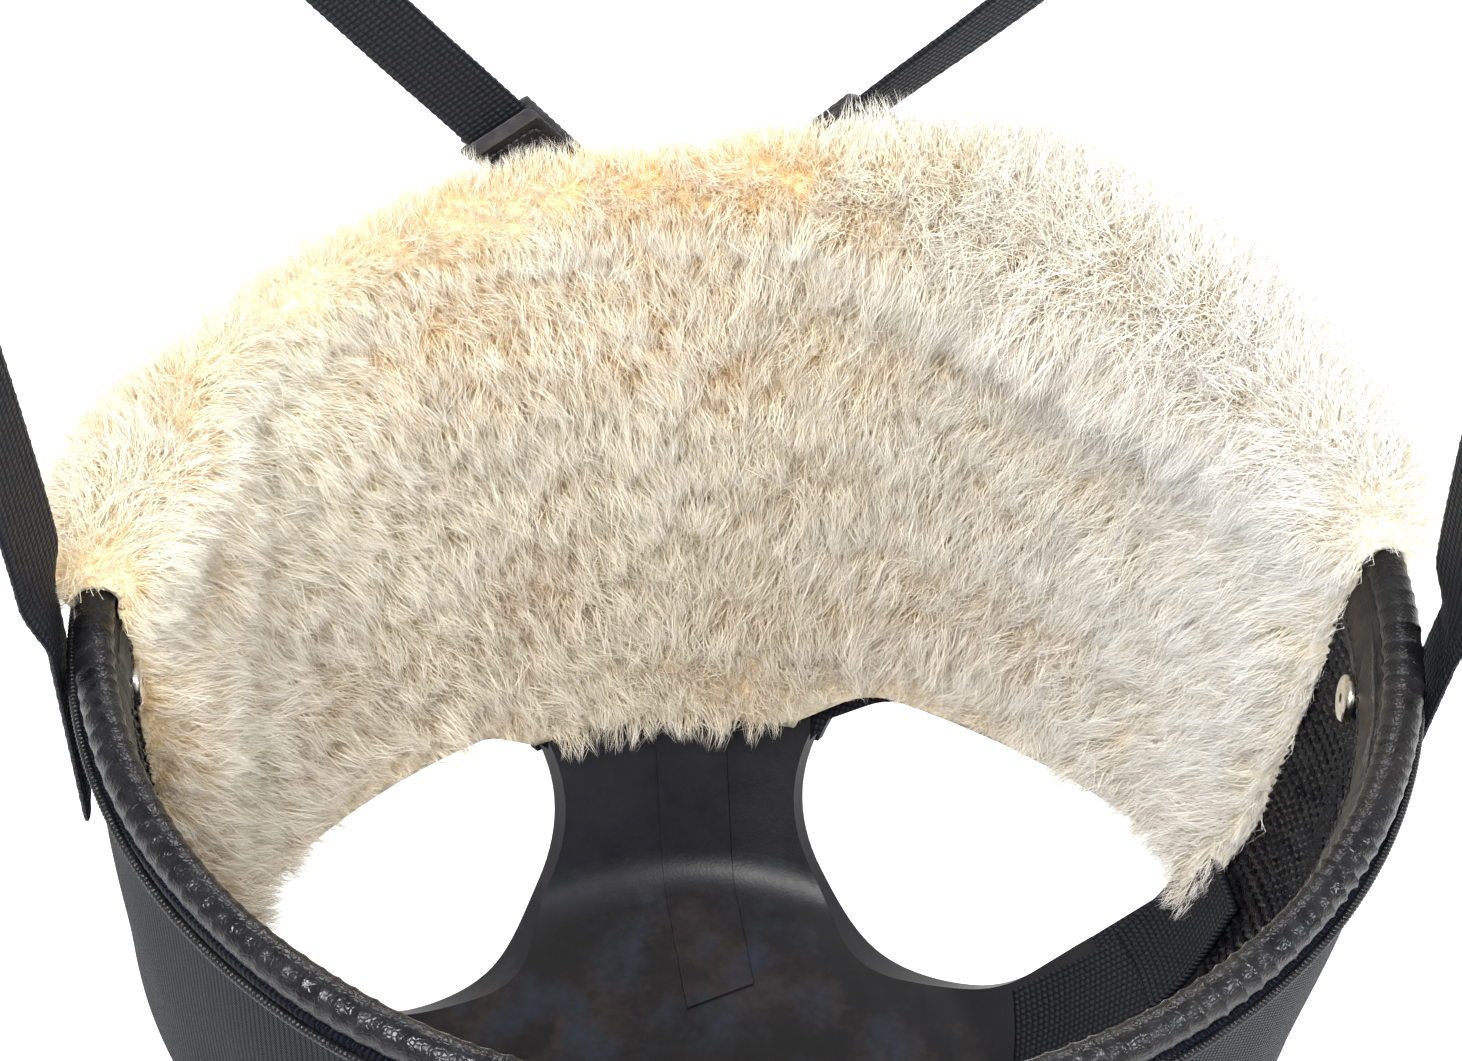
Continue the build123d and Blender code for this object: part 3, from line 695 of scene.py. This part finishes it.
tapePath = rimPath(np.linspace(0, fullTurn, 720, endpoint=False), -1.2 * mm, wallTop - 2 * mm)
tape = beadRow("rimTape", tapePath, 0.95 * mm, 1.1 * mm, 0.85, 0.5, tabLeather, True)
finish(tape, "muzzle", "leather", None, "rim_tape")

facingPiece = {"low": 0.169, "step": 0.0010, "fold": 0.0009}


def makeFacing():
    start, end = edgeLeft - 0.06, fullTurn + edgeRight + 0.06
    step = facingPiece["step"]
    cols = int((end - start) * 0.125 / step)
    theta = np.linspace(start, end, cols)[None, :]
    height = np.linspace(facingPiece["low"], wallTop + 0.0015, 16)[:, None]
    u = theta * 0.125
    middle = wallPoints(theta, height, 8 * mm)
    crease = np.abs(np.sin(u / 0.0021 + 6 * noiseAt(middle, 80.0, 4.0))) ** 0.6 * 0.35 * mm
    fold = noiseAt(middle, 45.0, 7.0) * facingPiece["fold"] + crease
    rise = np.clip((height - facingPiece["low"]) / 0.0145, 0, 1) ** 2 * 2.2 * mm  # it runs up on to the roll
    front = wallPoints(theta, height, 8.7 * mm + fold - rise)
    back = wallPoints(theta, height, 7.5 * mm - rise)
    uv = np.stack(np.broadcast_arrays(u / mm, height / mm), -1)
    return gridSolid("rimFacing", front, back, uv)


finish(makeFacing(), "muzzle", "leather", facingLeather, "rim_facing")
stitchTheta = np.linspace(edgeLeft + 0.05, fullTurn + edgeRight - 0.05, 600)
stitchRow = wallPoints(stitchTheta, np.full_like(stitchTheta, 0.1722), 9.2 * mm)
facingStitches = beadRow("facingStitches", stitchRow, 2.6 * mm, 0.28 * mm, 0.42, 0.0, thread)
finish(facingStitches, "muzzle", "leather", None)
finish(makeBumps(), "muzzle", "knit_lining", None)
print("rim made")

# ---------------------------------------------------------------- fleece
fleece = {
    "back": 6.4 * mm,
    "bedDepth": 5.0 * mm,
    "rollRadius": 9.0 * mm,
    "fullness": [  # bearing in degrees, and how much further the wool stands out there than elsewhere
        (-10, -1), (5, -1), (15, 2), (25, 6), (35, 12), (50, 12), (62, 8), (70, 3), (78, -1),
        (90, -4), (100, -6), (115, -9), (135, -9), (147, -5), (160, -1), (190, 0),
    ],
    "leftHang": 7 * mm,
    "lump": 2.6 * mm,
    "lumpScale": 34.0,
    "edgeRound": 9 * mm,
    "length": 12.0 * mm,
    "tufts": 215000.0,  # per square metre
    "sectors": 8,
    "overhang": 0.045,
}


def fleeceProfile(steps):  # inset and height from the bottom edge, up the inside and over the rim
    low = pileLow.z + 0.5 * mm
    points = [(fleece["back"] + fleece["bedDepth"], z) for z in np.linspace(low, rimHeight - 4 * mm, 40)]
    centreInset, radius = rimRadius + 0.5 * mm, fleece["rollRadius"]
    points += [
        (centreInset + radius * math.cos(a), rimHeight + radius * math.sin(a))
        for a in np.linspace(0.1, math.pi * 1.12, 26)
    ]
    points = np.array(points)
    run = np.concatenate([[0], np.cumsum(np.linalg.norm(np.diff(points, axis=0), axis=1))])
    even = np.linspace(0, run[-1], steps)
    return np.stack([np.interp(even, run, points[:, 0]), np.interp(even, run, points[:, 1])], -1), even


def fullness(theta):
    bearings, extra = zip(*fleece["fullness"])
    return np.interp(np.degrees(theta), bearings, extra) * mm


def fleeceSurface(step):
    rows, cols = int(0.190 / step), int((edgeLeft - edgeRight) * 0.125 / step)
    profile, run = fleeceProfile(rows)
    t = np.linspace(0, 1, cols)
    theta = (edgeRight - fleece["overhang"]) + t * (edgeLeft - edgeRight + 2 * fleece["overhang"])
    inset, height = profile[:, :1], profile[:, 1:]
    flat = wallPoints(theta[None], height, inset)
    side = np.minimum(t, 1 - t) * (theta[-1] - theta[0]) * 0.125
    openEdge = -insideOpening(flat, 3 * mm, 0.040)
    openEdge = openEdge + np.where(flat[..., 0] < -0.02, fleece["leftHang"], 0)
    bottom = run[:, None] + 0 * theta[None]
    top = run[-1] - bottom
    distance = np.minimum(np.minimum(side[None] + 0 * bottom, bottom), np.minimum(top, np.where(height < 0.12, openEdge, 1)))
    share = np.clip(distance / fleece["edgeRound"], 0, 1)
    rounded = np.sqrt(np.clip(1 - (1 - share) ** 2, 0, 1))
    lump = noiseAt(flat, fleece["lumpScale"], 1.0) * fleece["lump"] * 1.6 + noiseAt(flat, 95.0, 2.0) * 0.9 * mm
    overRim = height > rimHeight - 5 * mm
    depth = np.where(overRim, 0, -(fleece["bedDepth"] - 1 * mm) * (1 - rounded)) + lump * share
    swell = np.maximum(0.55 * fullness(theta)[None], -2.6 * mm)
    rising = np.clip((height - (rimHeight - 22 * mm)) / (18 * mm), 0, 1)
    rising = rising * rising * (3 - 2 * rising)
    least = fleece["back"] + 2 * mm  # the bed never gets thinner than this leaves it
    bedInset = np.where(overRim, inset, np.maximum(inset + depth + swell * rising, least))
    radial = wallPoints(theta[None], height, bedInset)
    centre = wallPoints(theta[None], np.full_like(height, rimHeight), rimRadius + 0.5 * mm)
    away = radial - centre
    away /= np.maximum(np.linalg.norm(away, axis=-1, keepdims=True), 1e-6)
    radial = radial + np.where(overRim, lump * share + swell, 0)[..., None] * away
    sideShare = 1 - np.clip(side[None, :, None] / fleece["edgeRound"], 0, 1)
    sideRound = 0.2 + 0.8 * np.sqrt(1 - sideShare**2)
    core = centre + away * (rimRadius + 0.9 * mm)
    radial = np.where(overRim[..., None], core + (radial - core) * sideRound, radial)
    tall = 1 + rising * 0.45 * fullness(theta)[None] / fleece["length"]
    edges = np.minimum(np.minimum(side[None] + 0 * bottom, bottom), np.where(height < 0.12, openEdge, 1))
    tall *= 0.55 + 0.45 * np.clip(edges / fleece["edgeRound"], 0, 1)
    return radial, theta, height, openEdge, tall, 1 + 0.9 * rising + 0 * tall


surface, fleeceTheta, fleeceHeight, openEdge, tallness, thickness = fleeceSurface(0.0025)
rowCount, colCount = surface.shape[:2]
backHeight = np.clip(fleeceHeight, 0, wallTop - 0.001)
back = wallPoints(fleeceTheta[None], backHeight, np.full_like(backHeight, fleece["back"] + 1.3 * mm))
over = fleeceHeight[:, 0] > rimHeight - 5 * mm
pathOver = wallPoints(fleeceTheta[None], np.full((rowCount, 1), rimHeight), rimRadius + 0.3 * mm)
towards = surface - pathOver
towards /= np.maximum(np.linalg.norm(towards, axis=-1, keepdims=True), 1e-6)
back[over] = (pathOver + towards * (rimRadius + 0.6 * mm))[over]
fleeceUv = np.stack(np.broadcast_arrays(fleeceTheta[None] * 125.0, np.arange(rowCount)[:, None] * 2.5), -1)
crest = int(np.argmax(over))
bedRows = {"fleeceBed": slice(0, crest + 1), "fleeceRoll": slice(crest, rowCount)}
for label, rows in bedRows.items():
    bed = gridSolid(label, surface[rows], back[rows], fleeceUv[rows])
    if label == "fleeceBed":
        cut(bed, openingPrism(1, 3 * mm, 0.040))
        cut(bed, openingPrism(-1, 3 * mm - fleece["leftHang"], 0.040))
    finish(bed, "muzzle", "wool", woolGround, "sheepskin_pile")


def tuftMesh():  # a pinch of fibres that meet near the tip, one unit high
    strands, segments, width = 16, 2, 0.0100
    verts, faces, along = [], [], []
    for n in range(strands):
        a, reach = rng.uniform(0, fullTurn), 0.17 * math.sqrt(rng.uniform(0.02, 1))
        root = np.array([reach * math.cos(a), reach * math.sin(a), -0.05])
        curl = np.array([rng.normal(0, 0.14), rng.normal(0, 0.14), 0])
        tip = np.array([rng.normal(0, 0.06), rng.normal(0, 0.06), rng.uniform(0.80, 1.05)])
        facing = rng.uniform(0, math.pi)
        side = np.array([math.cos(facing), math.sin(facing), 0]) * width
        first = len(verts)
        for s in range(segments):
            t = s / segments
            middle = root * (1 - t) ** 1.2 + (tip + root * 0.35) * t + curl * math.sin(math.pi * t)
            verts += [middle - side * (1 - 0.55 * t), middle + side * (1 - 0.55 * t)]
            along += [t, t]
        verts.append(tip + root * 0.35)
        along.append(1.0)
        for s in range(segments - 1):
            p = first + 2 * s
            faces.append((p, p + 1, p + 3, p + 2))
        p = first + 2 * (segments - 1)
        faces.append((p, p + 1, p + 2))
    mesh = bpy.data.meshes.new("tuft")
    mesh.from_pydata([tuple(v) for v in verts], [], faces)
    mesh.attributes.new("strand", "FLOAT", "POINT").data.foreach_set("value", np.array(along, np.float32))
    obj = bpy.data.objects.new("tuft", mesh)
    bpy.context.scene.collection.objects.link(obj)
    return obj


def fleeceTree():
    tree, given, out = geometryTree("fleeceTufts", {
        "Tuft": ("NodeSocketObject", None),
        "Density": ("NodeSocketFloat", 100000.0),
        "Length": ("NodeSocketFloat", 12.0 * mm),
        "Lean": ("NodeSocketFloat", 0.42),
        "Seed": ("NodeSocketInt", 1),
        "Finish": ("NodeSocketMaterial", None),
    })
    thicker = node(tree, "GeometryNodeInputNamedAttribute", {0: "thick"}, data_type="FLOAT").outputs[0]
    spread = node(tree, "GeometryNodeDistributePointsOnFaces", {
        "Mesh": given.outputs["Geometry"],
        "Density": maths(tree, "MULTIPLY", given.outputs["Density"], thicker),
        "Seed": given.outputs["Seed"],
    }, distribute_method="RANDOM")
    place = node(tree, "GeometryNodeInputPosition").outputs[0]

    def drift(scale, amount):
        wind = node(tree, "ShaderNodeTexNoise", {"Vector": place, "Scale": scale, "Detail": 2.0})
        centred = node(tree, "ShaderNodeVectorMath", {0: wind.outputs["Color"], 1: (0.5, 0.5, 0.5)}, operation="SUBTRACT")
        made = node(tree, "ShaderNodeVectorMath", {0: centred.outputs[0]}, operation="SCALE")
        tree.links.new(amount, made.inputs["Scale"])
        return made.outputs[0]

    broad = drift(38.0, maths(tree, "MULTIPLY", given.outputs["Lean"], 2.6))
    clump = drift(170.0, maths(tree, "MULTIPLY", given.outputs["Lean"], 3.0))
    loose = node(tree, "FunctionNodeRandomValue", {0: (-0.28, -0.28, -0.28), 1: (0.28, 0.28, 0.28), "Seed": 5}, data_type="FLOAT_VECTOR")
    aim = spread.outputs["Normal"]
    for extra in (broad, clump, loose.outputs[0], (0.0, 0.0, -0.14)):
        aim = node(tree, "ShaderNodeVectorMath", {0: aim, 1: extra}, operation="ADD").outputs[0]
    stand = node(tree, "FunctionNodeAlignRotationToVector", {"Vector": aim}, axis="Z")
    spin = node(tree, "FunctionNodeRandomValue", {2: 0.0, 3: fullTurn, "Seed": 7}, data_type="FLOAT")
    spun = node(tree, "ShaderNodeCombineXYZ", {2: spin.outputs[1]})
    turned = node(tree, "FunctionNodeRotateRotation", {0: stand.outputs[0], 1: spun.outputs[0]}, rotation_space="LOCAL")
    patchy = node(tree, "ShaderNodeTexNoise", {"Vector": place, "Scale": 110.0, "Detail": 2.0})
    even = node(tree, "FunctionNodeRandomValue", {2: 0.75, 3: 1.2, "Seed": 9}, data_type="FLOAT")
    tall = maths(tree, "MULTIPLY", even.outputs[1], ramp(tree, patchy.outputs["Fac"], 0.3, 0.7, 0.72, 1.15))
    fuller = node(tree, "GeometryNodeInputNamedAttribute", {0: "tall"}, data_type="FLOAT").outputs[0]
    size = maths(tree, "MULTIPLY", maths(tree, "MULTIPLY", tall, fuller), given.outputs["Length"])
    source = node(tree, "GeometryNodeObjectInfo", {"Object": given.outputs["Tuft"]})
    laid = node(tree, "GeometryNodeInstanceOnPoints", {
        "Points": spread.outputs["Points"],
        "Instance": source.outputs["Geometry"],
        "Rotation": turned.outputs[0],
        "Scale": size,
    })
    real = node(tree, "GeometryNodeRealizeInstances", {0: laid.outputs[0]})
    coloured = node(tree, "GeometryNodeSetMaterial", {0: real.outputs[0], "Material": given.outputs["Finish"]})
    tree.links.new(coloured.outputs[0], out.inputs[0])
    return tree


def makeFleece():
    tuft, tree = tuftMesh(), fleeceTree()
    edges = np.linspace(0, colCount - 1, fleece["sectors"] + 1).astype(int)
    keep = openEdge > 1.5 * mm
    keep |= np.broadcast_to(fleeceHeight, keep.shape) > 0.12
    for n, (first, last) in enumerate(zip(edges[:-1], edges[1:])):
        cols = last - first + 1
        verts = surface[:, first:last + 1].reshape(-1, 3)
        index = np.arange(rowCount * cols).reshape(rowCount, cols)
        kept = keep[:, first:last + 1]
        good = kept[:-1, :-1] & kept[1:, 1:] & kept[1:, :-1] & kept[:-1, 1:]
        quads = np.stack([index[:-1, 1:], index[:-1, :-1], index[1:, :-1], index[1:, 1:]], -1)[good]
        mesh = bpy.data.meshes.new("emitter")
        mesh.from_pydata([tuple(v) for v in verts], [], [tuple(q) for q in quads])
        for label, values in (("tall", tallness), ("thick", thickness)):
            values = values[:, first:last + 1].astype(np.float32).ravel()
            mesh.attributes.new(label, "FLOAT", "POINT").data.foreach_set("value", values)
        obj = bpy.data.objects.new(f"fleece{n + 1}", mesh)
        bpy.context.scene.collection.objects.link(obj)
        made = runTree(obj, tree, {
            "Tuft": tuft,
            "Density": fleece["tufts"],
            "Length": fleece["length"],
            "Seed": 20 + n,
            "Finish": woolStrands,
        })
        finish(made, "muzzle", "wool", None)
        print("fleece piece", n + 1, len(made.data.polygons))
    bpy.data.objects.remove(tuft)


makeFleece()
print("fleece made")

# ---------------------------------------------------------------- opening trim
binding = {"width": 11 * mm, "outside": -1.7 * mm, "inside": -0.1 * mm}
bindLow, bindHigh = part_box("right_opening_binding")
for side, word in ((1, "right"), (-1, "left")):
    middle = bearing if side > 0 else math.pi - bearing
    band, _, _ = wallSheet(f"{word}OpeningBinding", middle - 0.9, middle + 0.9, 0.031, bindHigh.z, binding["outside"], binding["inside"], 0.0018)
    cut(band, openingPrism(side, binding["width"]), "INTERSECT")
    cut(band, openingPrism(side))
    finish(band, "muzzle", "webbing", webbing, f"{word}_opening_binding")

patches = {
    "cheekTie": {"centre": (-0.002, 0.042), "size": (0.024, 0.050), "lean": 10.0, "outside": 7.5 * mm, "thick": 1.6 * mm, "cad": "cheek_tie"},
    "cornerPatch": {"centre": (0.0005, 0.065), "size": (0.027, 0.032), "lean": -10.0, "outside": 9.2 * mm, "thick": 1.6 * mm, "cad": "corner_patch"},
}


def wallPatch(name, side, centre, size, lean, outside, thick, cad):
    step = 0.9 * mm
    across, along = (np.linspace(-s / 2, s / 2, int(s / step)) for s in size)
    a, b = np.meshgrid(across, along)
    turn = math.radians(lean)
    y = centre[0] + a * math.cos(turn) - b * math.sin(turn)
    z = np.maximum(centre[1] + a * math.sin(turn) + b * math.cos(turn), 0.008)
    theta = np.arcsin(np.clip(y / (halfDepth * np.interp(z, heights, shares)), -1, 1))
    bulge = noiseAt(np.stack([a, b, 0 * a], -1), 90.0, 3.0) * 0.4 * mm
    front = wallPoints(theta, z, outside + thick + bulge) * (side, 1, 1)
    rear = wallPoints(theta, z, np.full_like(z, outside)) * (side, 1, 1)
    made = gridSolid(name, front, rear, np.stack([a / mm, b / mm], -1))
    cut(made, openingPrism(side))
    return made


for side, word in ((1, "right"), (-1, "left")):
    for label, piece in patches.items():
        made = wallPatch(word + label[0].upper() + label[1:], side, **piece)
        finish(made, "muzzle", "webbing", webbing, f"{word}_{piece['cad']}")
print("opening trim made")

# ---------------------------------------------------------------- hangers
strap = {
    "thick": 1.6 * mm,
    "gap": 2.3 * mm,
    "flexGap": 2.4 * mm,
    "tailGap": 0.6 * mm,
    "tailRise": 0.3 * mm,
    "flap": 52 * mm,
    "step": 0.8 * mm,
    "columns": 22,
    "tooth": 0.28 * mm,
    "toothPitch": 2.1 * mm,
}
jointAt = {j["name"]: j for j in frame["joints"]}


def hangerFrame(side):  # where a hanger flexes, its directions at the foot and at the fold, and its length
    flex, tail = jointAt[f"{side}_hanger_flex"], jointAt[f"{side}_tail_flex"]
    origin, end = Vector(flex["pos_m"]), Vector(tail["pos_m"])
    across, topAcross = Vector(flex["axis"]).normalized(), Vector(tail["axis"]).normalized()
    drop = strap["thick"] * 1.5 + strap["gap"] + strap["tailRise"]
    reach = end - origin
    length = math.sqrt(reach.length_squared - drop**2)
    along = Matrix.Rotation(math.atan2(drop, length), 3, topAcross) @ reach.normalized()
    inward = across.cross(along)
    twist = math.atan2(across.cross(topAcross).dot(along), across.dot(topAcross))
    return origin, along, across, inward, length + strap["tailGap"], twist


def webbingLoops(stations, width, thick, name, material_uv=0.0):  # one ring of points for each station
    columns = strap["columns"]
    s = np.linspace(-1, 1, columns)
    rings, uvs = [], []
    for centre, across, inward, run in stations:
        tooth = strap["tooth"] * (2 * abs((run / strap["toothPitch"]) % 1.0 - 0.5) - 0.5)
        half = width / 2 + tooth
        edge = np.sqrt(np.clip(1 - np.abs(s) ** 14, 0.12, 1)) * thick / 2
        weft = 0.05 * mm * np.cos(run / (0.67 * mm) + np.pi * np.floor(s * columns / 4))
        top = [centre + across * (half * a) + inward * (e + w) for a, e, w in zip(s, edge, weft)]
        low = [centre + across * (half * a) - inward * (e + w) for a, e, w in zip(s, edge, weft)]
        rings.append(top + low[::-1])
        uvs.append([(half * a / mm, run / mm) for a in s] + [(half * a / mm, run / mm) for a in s[::-1]])
    count = 2 * columns
    verts = [tuple(p) for ring in rings for p in ring]
    faces = []
    for r in range(len(rings) - 1):
        for c in range(count):
            d = (c + 1) % count
            faces.append((r * count + c, r * count + d, (r + 1) * count + d, (r + 1) * count + c))
    last = (len(rings) - 1) * count
    for first, order in ((0, 1), (last, -1)):
        for c in range(columns - 1):
            quad = (first + c, first + c + 1, first + count - 2 - c, first + count - 1 - c)
            faces.append(quad[::order])
    return makeObject(name, verts, faces, [uv for ring in uvs for uv in ring])


def makeHanger(side, width, footStations, rootTurn=0.0):
    origin, along, across, inward, length, twist = hangerFrame(side)
    untwistOver = 90 * mm
    settleOver = 16 * mm
    split = length - strap["flap"] - 12 * mm

    def at(run, lift=0.0):
        settled = min(max((run + strap["flexGap"]) / settleOver, 0), 1)
        turn = twist * min(max(run / untwistOver, 0), 1) + rootTurn * (1 - settled) ** 2 * (1 + 2 * settled)
        here = Matrix.Rotation(turn, 3, along)
        sway = 0.4 * mm * math.sin(run / 0.021) * min(max((split - run) / 0.02, 0), 1)
        return origin + along * run + (here @ inward) * (lift + sway * min(run / 0.02, 1)), here @ across, here @ inward

    runs = np.arange(-strap["flexGap"], split, strap["step"])
    lower = list(footStations) + [(*at(r), r) for r in runs]
    word = side.replace("front_", "front").replace("left", "Left").replace("right", "Right")
    word = word[0].lower() + word[1:]
    flexing = webbingLoops(lower, width, strap["thick"], f"{word}Strap")
    finish(flexing, None, "webbing", webbing, f"{side}_foot")
    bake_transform(flexing)

    fold = (strap["thick"] + strap["gap"]) / 2
    upper = [(*at(r), r) for r in np.arange(split - 1 * mm, length, strap["step"])]
    here = at(length)
    for a in np.linspace(0, math.pi, 12)[1:-1]:
        turned = Matrix.Rotation(-a, 3, here[1])
        centre = here[0] - here[2] * fold
        upper.append((centre + turned @ (here[2] * fold), here[1], turned @ here[2], length + fold * a))
    foldEnd = length + fold * math.pi
    for r in np.arange(0, strap["flap"], strap["step"]):
        place = here[0] - here[2] * 2 * fold - along * r
        upper.append((place, here[1], -here[2], foldEnd + r))
    tailed = webbingLoops(upper, width, strap["thick"], f"{word}Tail")
    finish(tailed, None, "webbing", webbing, f"{side}_strap", f"{side}_flap")
    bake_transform(tailed)
    for label, slot, material in (("loop_patch", "loop_tape", loopTape), ("hook_patch", "hook_tape", hookTape)):
        frame["nodes"][f"{side}_{label}"].data.materials.clear()
        frame["nodes"][f"{side}_{label}"].data.materials.append(material)
    return origin, along, across, inward


sideWidth, frontWidth = 19 * mm, 16 * mm
sideFoot = {"low": 0.1375, "outside": -2.8 * mm}
for side, sign in (("right", 1), ("left", -1)):
    origin, along, across, inward, length, twist = hangerFrame(side)
    stations = []
    for z in np.arange(sideFoot["low"], origin.z - strap["flexGap"], strap["step"]):
        theta = math.asin(origin.y / (halfDepth * np.interp(z, heights, shares)))
        point = wallPoints(np.array(theta), np.array(z), sideFoot["outside"] - strap["thick"] / 2)
        level = Vector((-math.cos(theta) / halfWidth, -math.sin(theta) / halfDepth, 0)).normalized()
        level.x, point[0] = level.x * sign, point[0] * sign
        flat = level.cross(Vector((0, 0, 1))) * -1
        flat = flat if flat.dot(across) > 0 else -flat
        stations.append((Vector(point), flat, level, z - origin.z))
    foot = stations[-1]
    rootTurn = math.atan2(across.cross(foot[1]).dot(along), across.dot(foot[1]))
    makeHanger(side, sideWidth, stations, rootTurn)

sleevePiece = {"length": 27 * mm, "bend": 18 * mm, "foot": 14 * mm, "wall": 1.3 * mm, "clear": 0.15 * mm}
rises = {"front_left": (0.0, 0.0), "front_right": (4.6 * mm, math.radians(-32))}
for side, (rise, turnBack) in rises.items():
    origin, along, across, inward, length, twist = hangerFrame(side)
    start = -(sleevePiece["length"] + strap["flexGap"] + sleevePiece["bend"] + sleevePiece["foot"] - 2 * mm)
    bent = -(sleevePiece["length"] + strap["flexGap"])
    stations = []
    for r in np.arange(start, -strap["flexGap"], strap["step"]):
        share = np.clip((bent - r) / sleevePiece["bend"], 0, 1)
        here = Matrix.Rotation(turnBack * share, 3, along)
        wallIn = Matrix.Rotation(turnBack, 3, along) @ inward
        stations.append((origin + along * r + wallIn * (rise * share), here @ across, here @ inward, r))
    makeHanger(side, frontWidth, stations)

    middle = origin - along * (strap["flexGap"] + sleevePiece["length"] / 2)
    half = sleevePiece["length"] / 2
    runs = np.arange(-half, half, 0.7 * mm)
    shift = (strap["thick"] + sleevePiece["wall"]) / 2 + sleevePiece["clear"]
    word = "frontLeft" if side == "front_left" else "frontRight"
    work = []
    for face in (1, -1):  # two leather leaves, joined at their edges
        leaf = [(middle + along * r + inward * shift * face, across, inward, r) for r in runs]
        work.append(webbingLoops(leaf, frontWidth + 2 * sleevePiece["wall"], sleevePiece["wall"], f"{word}Leaf{'In' if face > 0 else 'Out'}"))
    finish(work[0], "muzzle", "leather", tabLeather, f"{side}_sleeve")
    finish(work[1], "muzzle", "leather", suede)
    inset = frontWidth / 2 - 1.0 * mm
    band = [(middle + along * r + inward * (shift + 0.85 * mm), across, inward, r) for r in np.linspace(half - 3.4 * mm, half - 0.2 * mm, 5)]
    edgeBand = webbingLoops(band, frontWidth + 2.2 * sleevePiece["wall"], 0.5 * mm, f"{word}EdgeBand")
    finish(edgeBand, "muzzle", "leather", suede)
    for row, ring in enumerate((1.0, 0.72, 0.45)):  # box stitching, one row inside the other
        box = []
        w, h = inset * ring, (half - 4.2 * mm) * ring
        corners = [(-w, -h), (w, -h), (w, h), (-w, h), (-w, -h)]
        for (a0, b0), (a1, b1) in zip(corners[:-1], corners[1:]):
            for t in np.linspace(0, 1, 12, endpoint=False):
                point = middle + across * (a0 + (a1 - a0) * t) + along * (b0 + (b1 - b0) * t - 1.5 * mm)
                box.append(tuple(point + inward * (shift + 0.85 * mm)))
        rowObj = beadRow(f"{word}Stitches{row + 1}", np.array(box), 2.1 * mm, 0.42 * mm, 0.46, 0.0, thread)
        finish(rowObj, "muzzle", "leather", None)
print("hangers made")

# ---------------------------------------------------------------- CAD pieces that stay
stays = {"rubber_base": rubber, "centre_inlay": rubber}
for side in ("right", "left"):
    stays[f"{side}_rivet"] = nickel
    stays[f"{side}_rivet_washer"] = nickel
for name, material in stays.items():
    frame["nodes"][name].data.materials.clear()
    frame["nodes"][name].data.materials.append(material)

# ---------------------------------------------------------------- studio
studio = {
    "target": (-0.003, 0.020, 0.185),
    "azimuth": -10.0,
    "elevation": 50.0,
    "roll": 6.0,
    "distance": 0.700,
    "lens": 86.0,
}


def makeCamera():
    az, el, roll = (math.radians(studio[k]) for k in ("azimuth", "elevation", "roll"))
    backward = Vector((math.sin(az) * math.cos(el), -math.cos(az) * math.cos(el), math.sin(el)))
    right = (-backward).cross(Vector((0, 0, 1))).normalized()
    up = right.cross(-backward)
    x = math.cos(roll) * right + math.sin(roll) * up
    y = -math.sin(roll) * right + math.cos(roll) * up
    data = bpy.data.cameras.new("camera")
    data.lens = studio["lens"]
    data.sensor_width = 36.0
    camera = bpy.data.objects.new("camera", data)
    turn = Matrix((x, y, backward)).transposed().to_4x4()
    camera.matrix_world = Matrix.Translation(Vector(studio["target"]) + backward * studio["distance"]) @ turn
    bpy.context.scene.collection.objects.link(camera)
    bpy.context.scene.camera = camera


def areaLight(name, place, aim, size, power, tint=(1, 1, 1)):
    data = bpy.data.lights.new(name, "AREA")
    data.energy = power
    data.size = size
    data.color = tint
    light = bpy.data.objects.new(name, data)
    way = Vector(place) - Vector(aim)
    light.matrix_world = Matrix.Translation(place) @ way.to_track_quat("Z", "Y").to_matrix().to_4x4()
    bpy.context.scene.collection.objects.link(light)


def makeFloor():
    mesh = bpy.data.meshes.new("floor")
    reach = 6.0
    mesh.from_pydata([(-reach, -reach, 0), (reach, -reach, 0), (reach, reach, 0), (-reach, reach, 0)], [], [(0, 1, 2, 3)])
    floor = bpy.data.objects.new("floor", mesh)
    bpy.context.scene.collection.objects.link(floor)
    material, tree, shader = newMaterial("paleFloor", roughness=0.9)
    shader.inputs["Base Color"].default_value = (0.5, 0.5, 0.5, 1)
    shader.inputs["Emission Color"].default_value = (1, 1, 1, 1)
    shader.inputs["Emission Strength"].default_value = 1.0
    mesh.materials.append(material)


makeCamera()
makeFloor()
world = bpy.data.worlds.new("softRoom")
world.use_nodes = True
world.node_tree.nodes["Background"].inputs[0].default_value = (1, 1, 1, 1)
world.node_tree.nodes["Background"].inputs[1].default_value = 0.5
bpy.context.scene.world = world
bpy.context.scene.view_settings.view_transform = "Standard"
areaLight("keyLight", (-0.35, -0.55, 1.25), (0, 0.03, 0.15), 0.45, 21.0)
areaLight("fillLight", (0.75, -0.5, 0.9), (0, 0.03, 0.12), 0.35, 8.0, (0.93, 0.96, 1.0))
areaLight("backLight", (0.15, 1.0, 0.8), (0, 0.05, 0.18), 0.5, 6.0)
print("studio made")
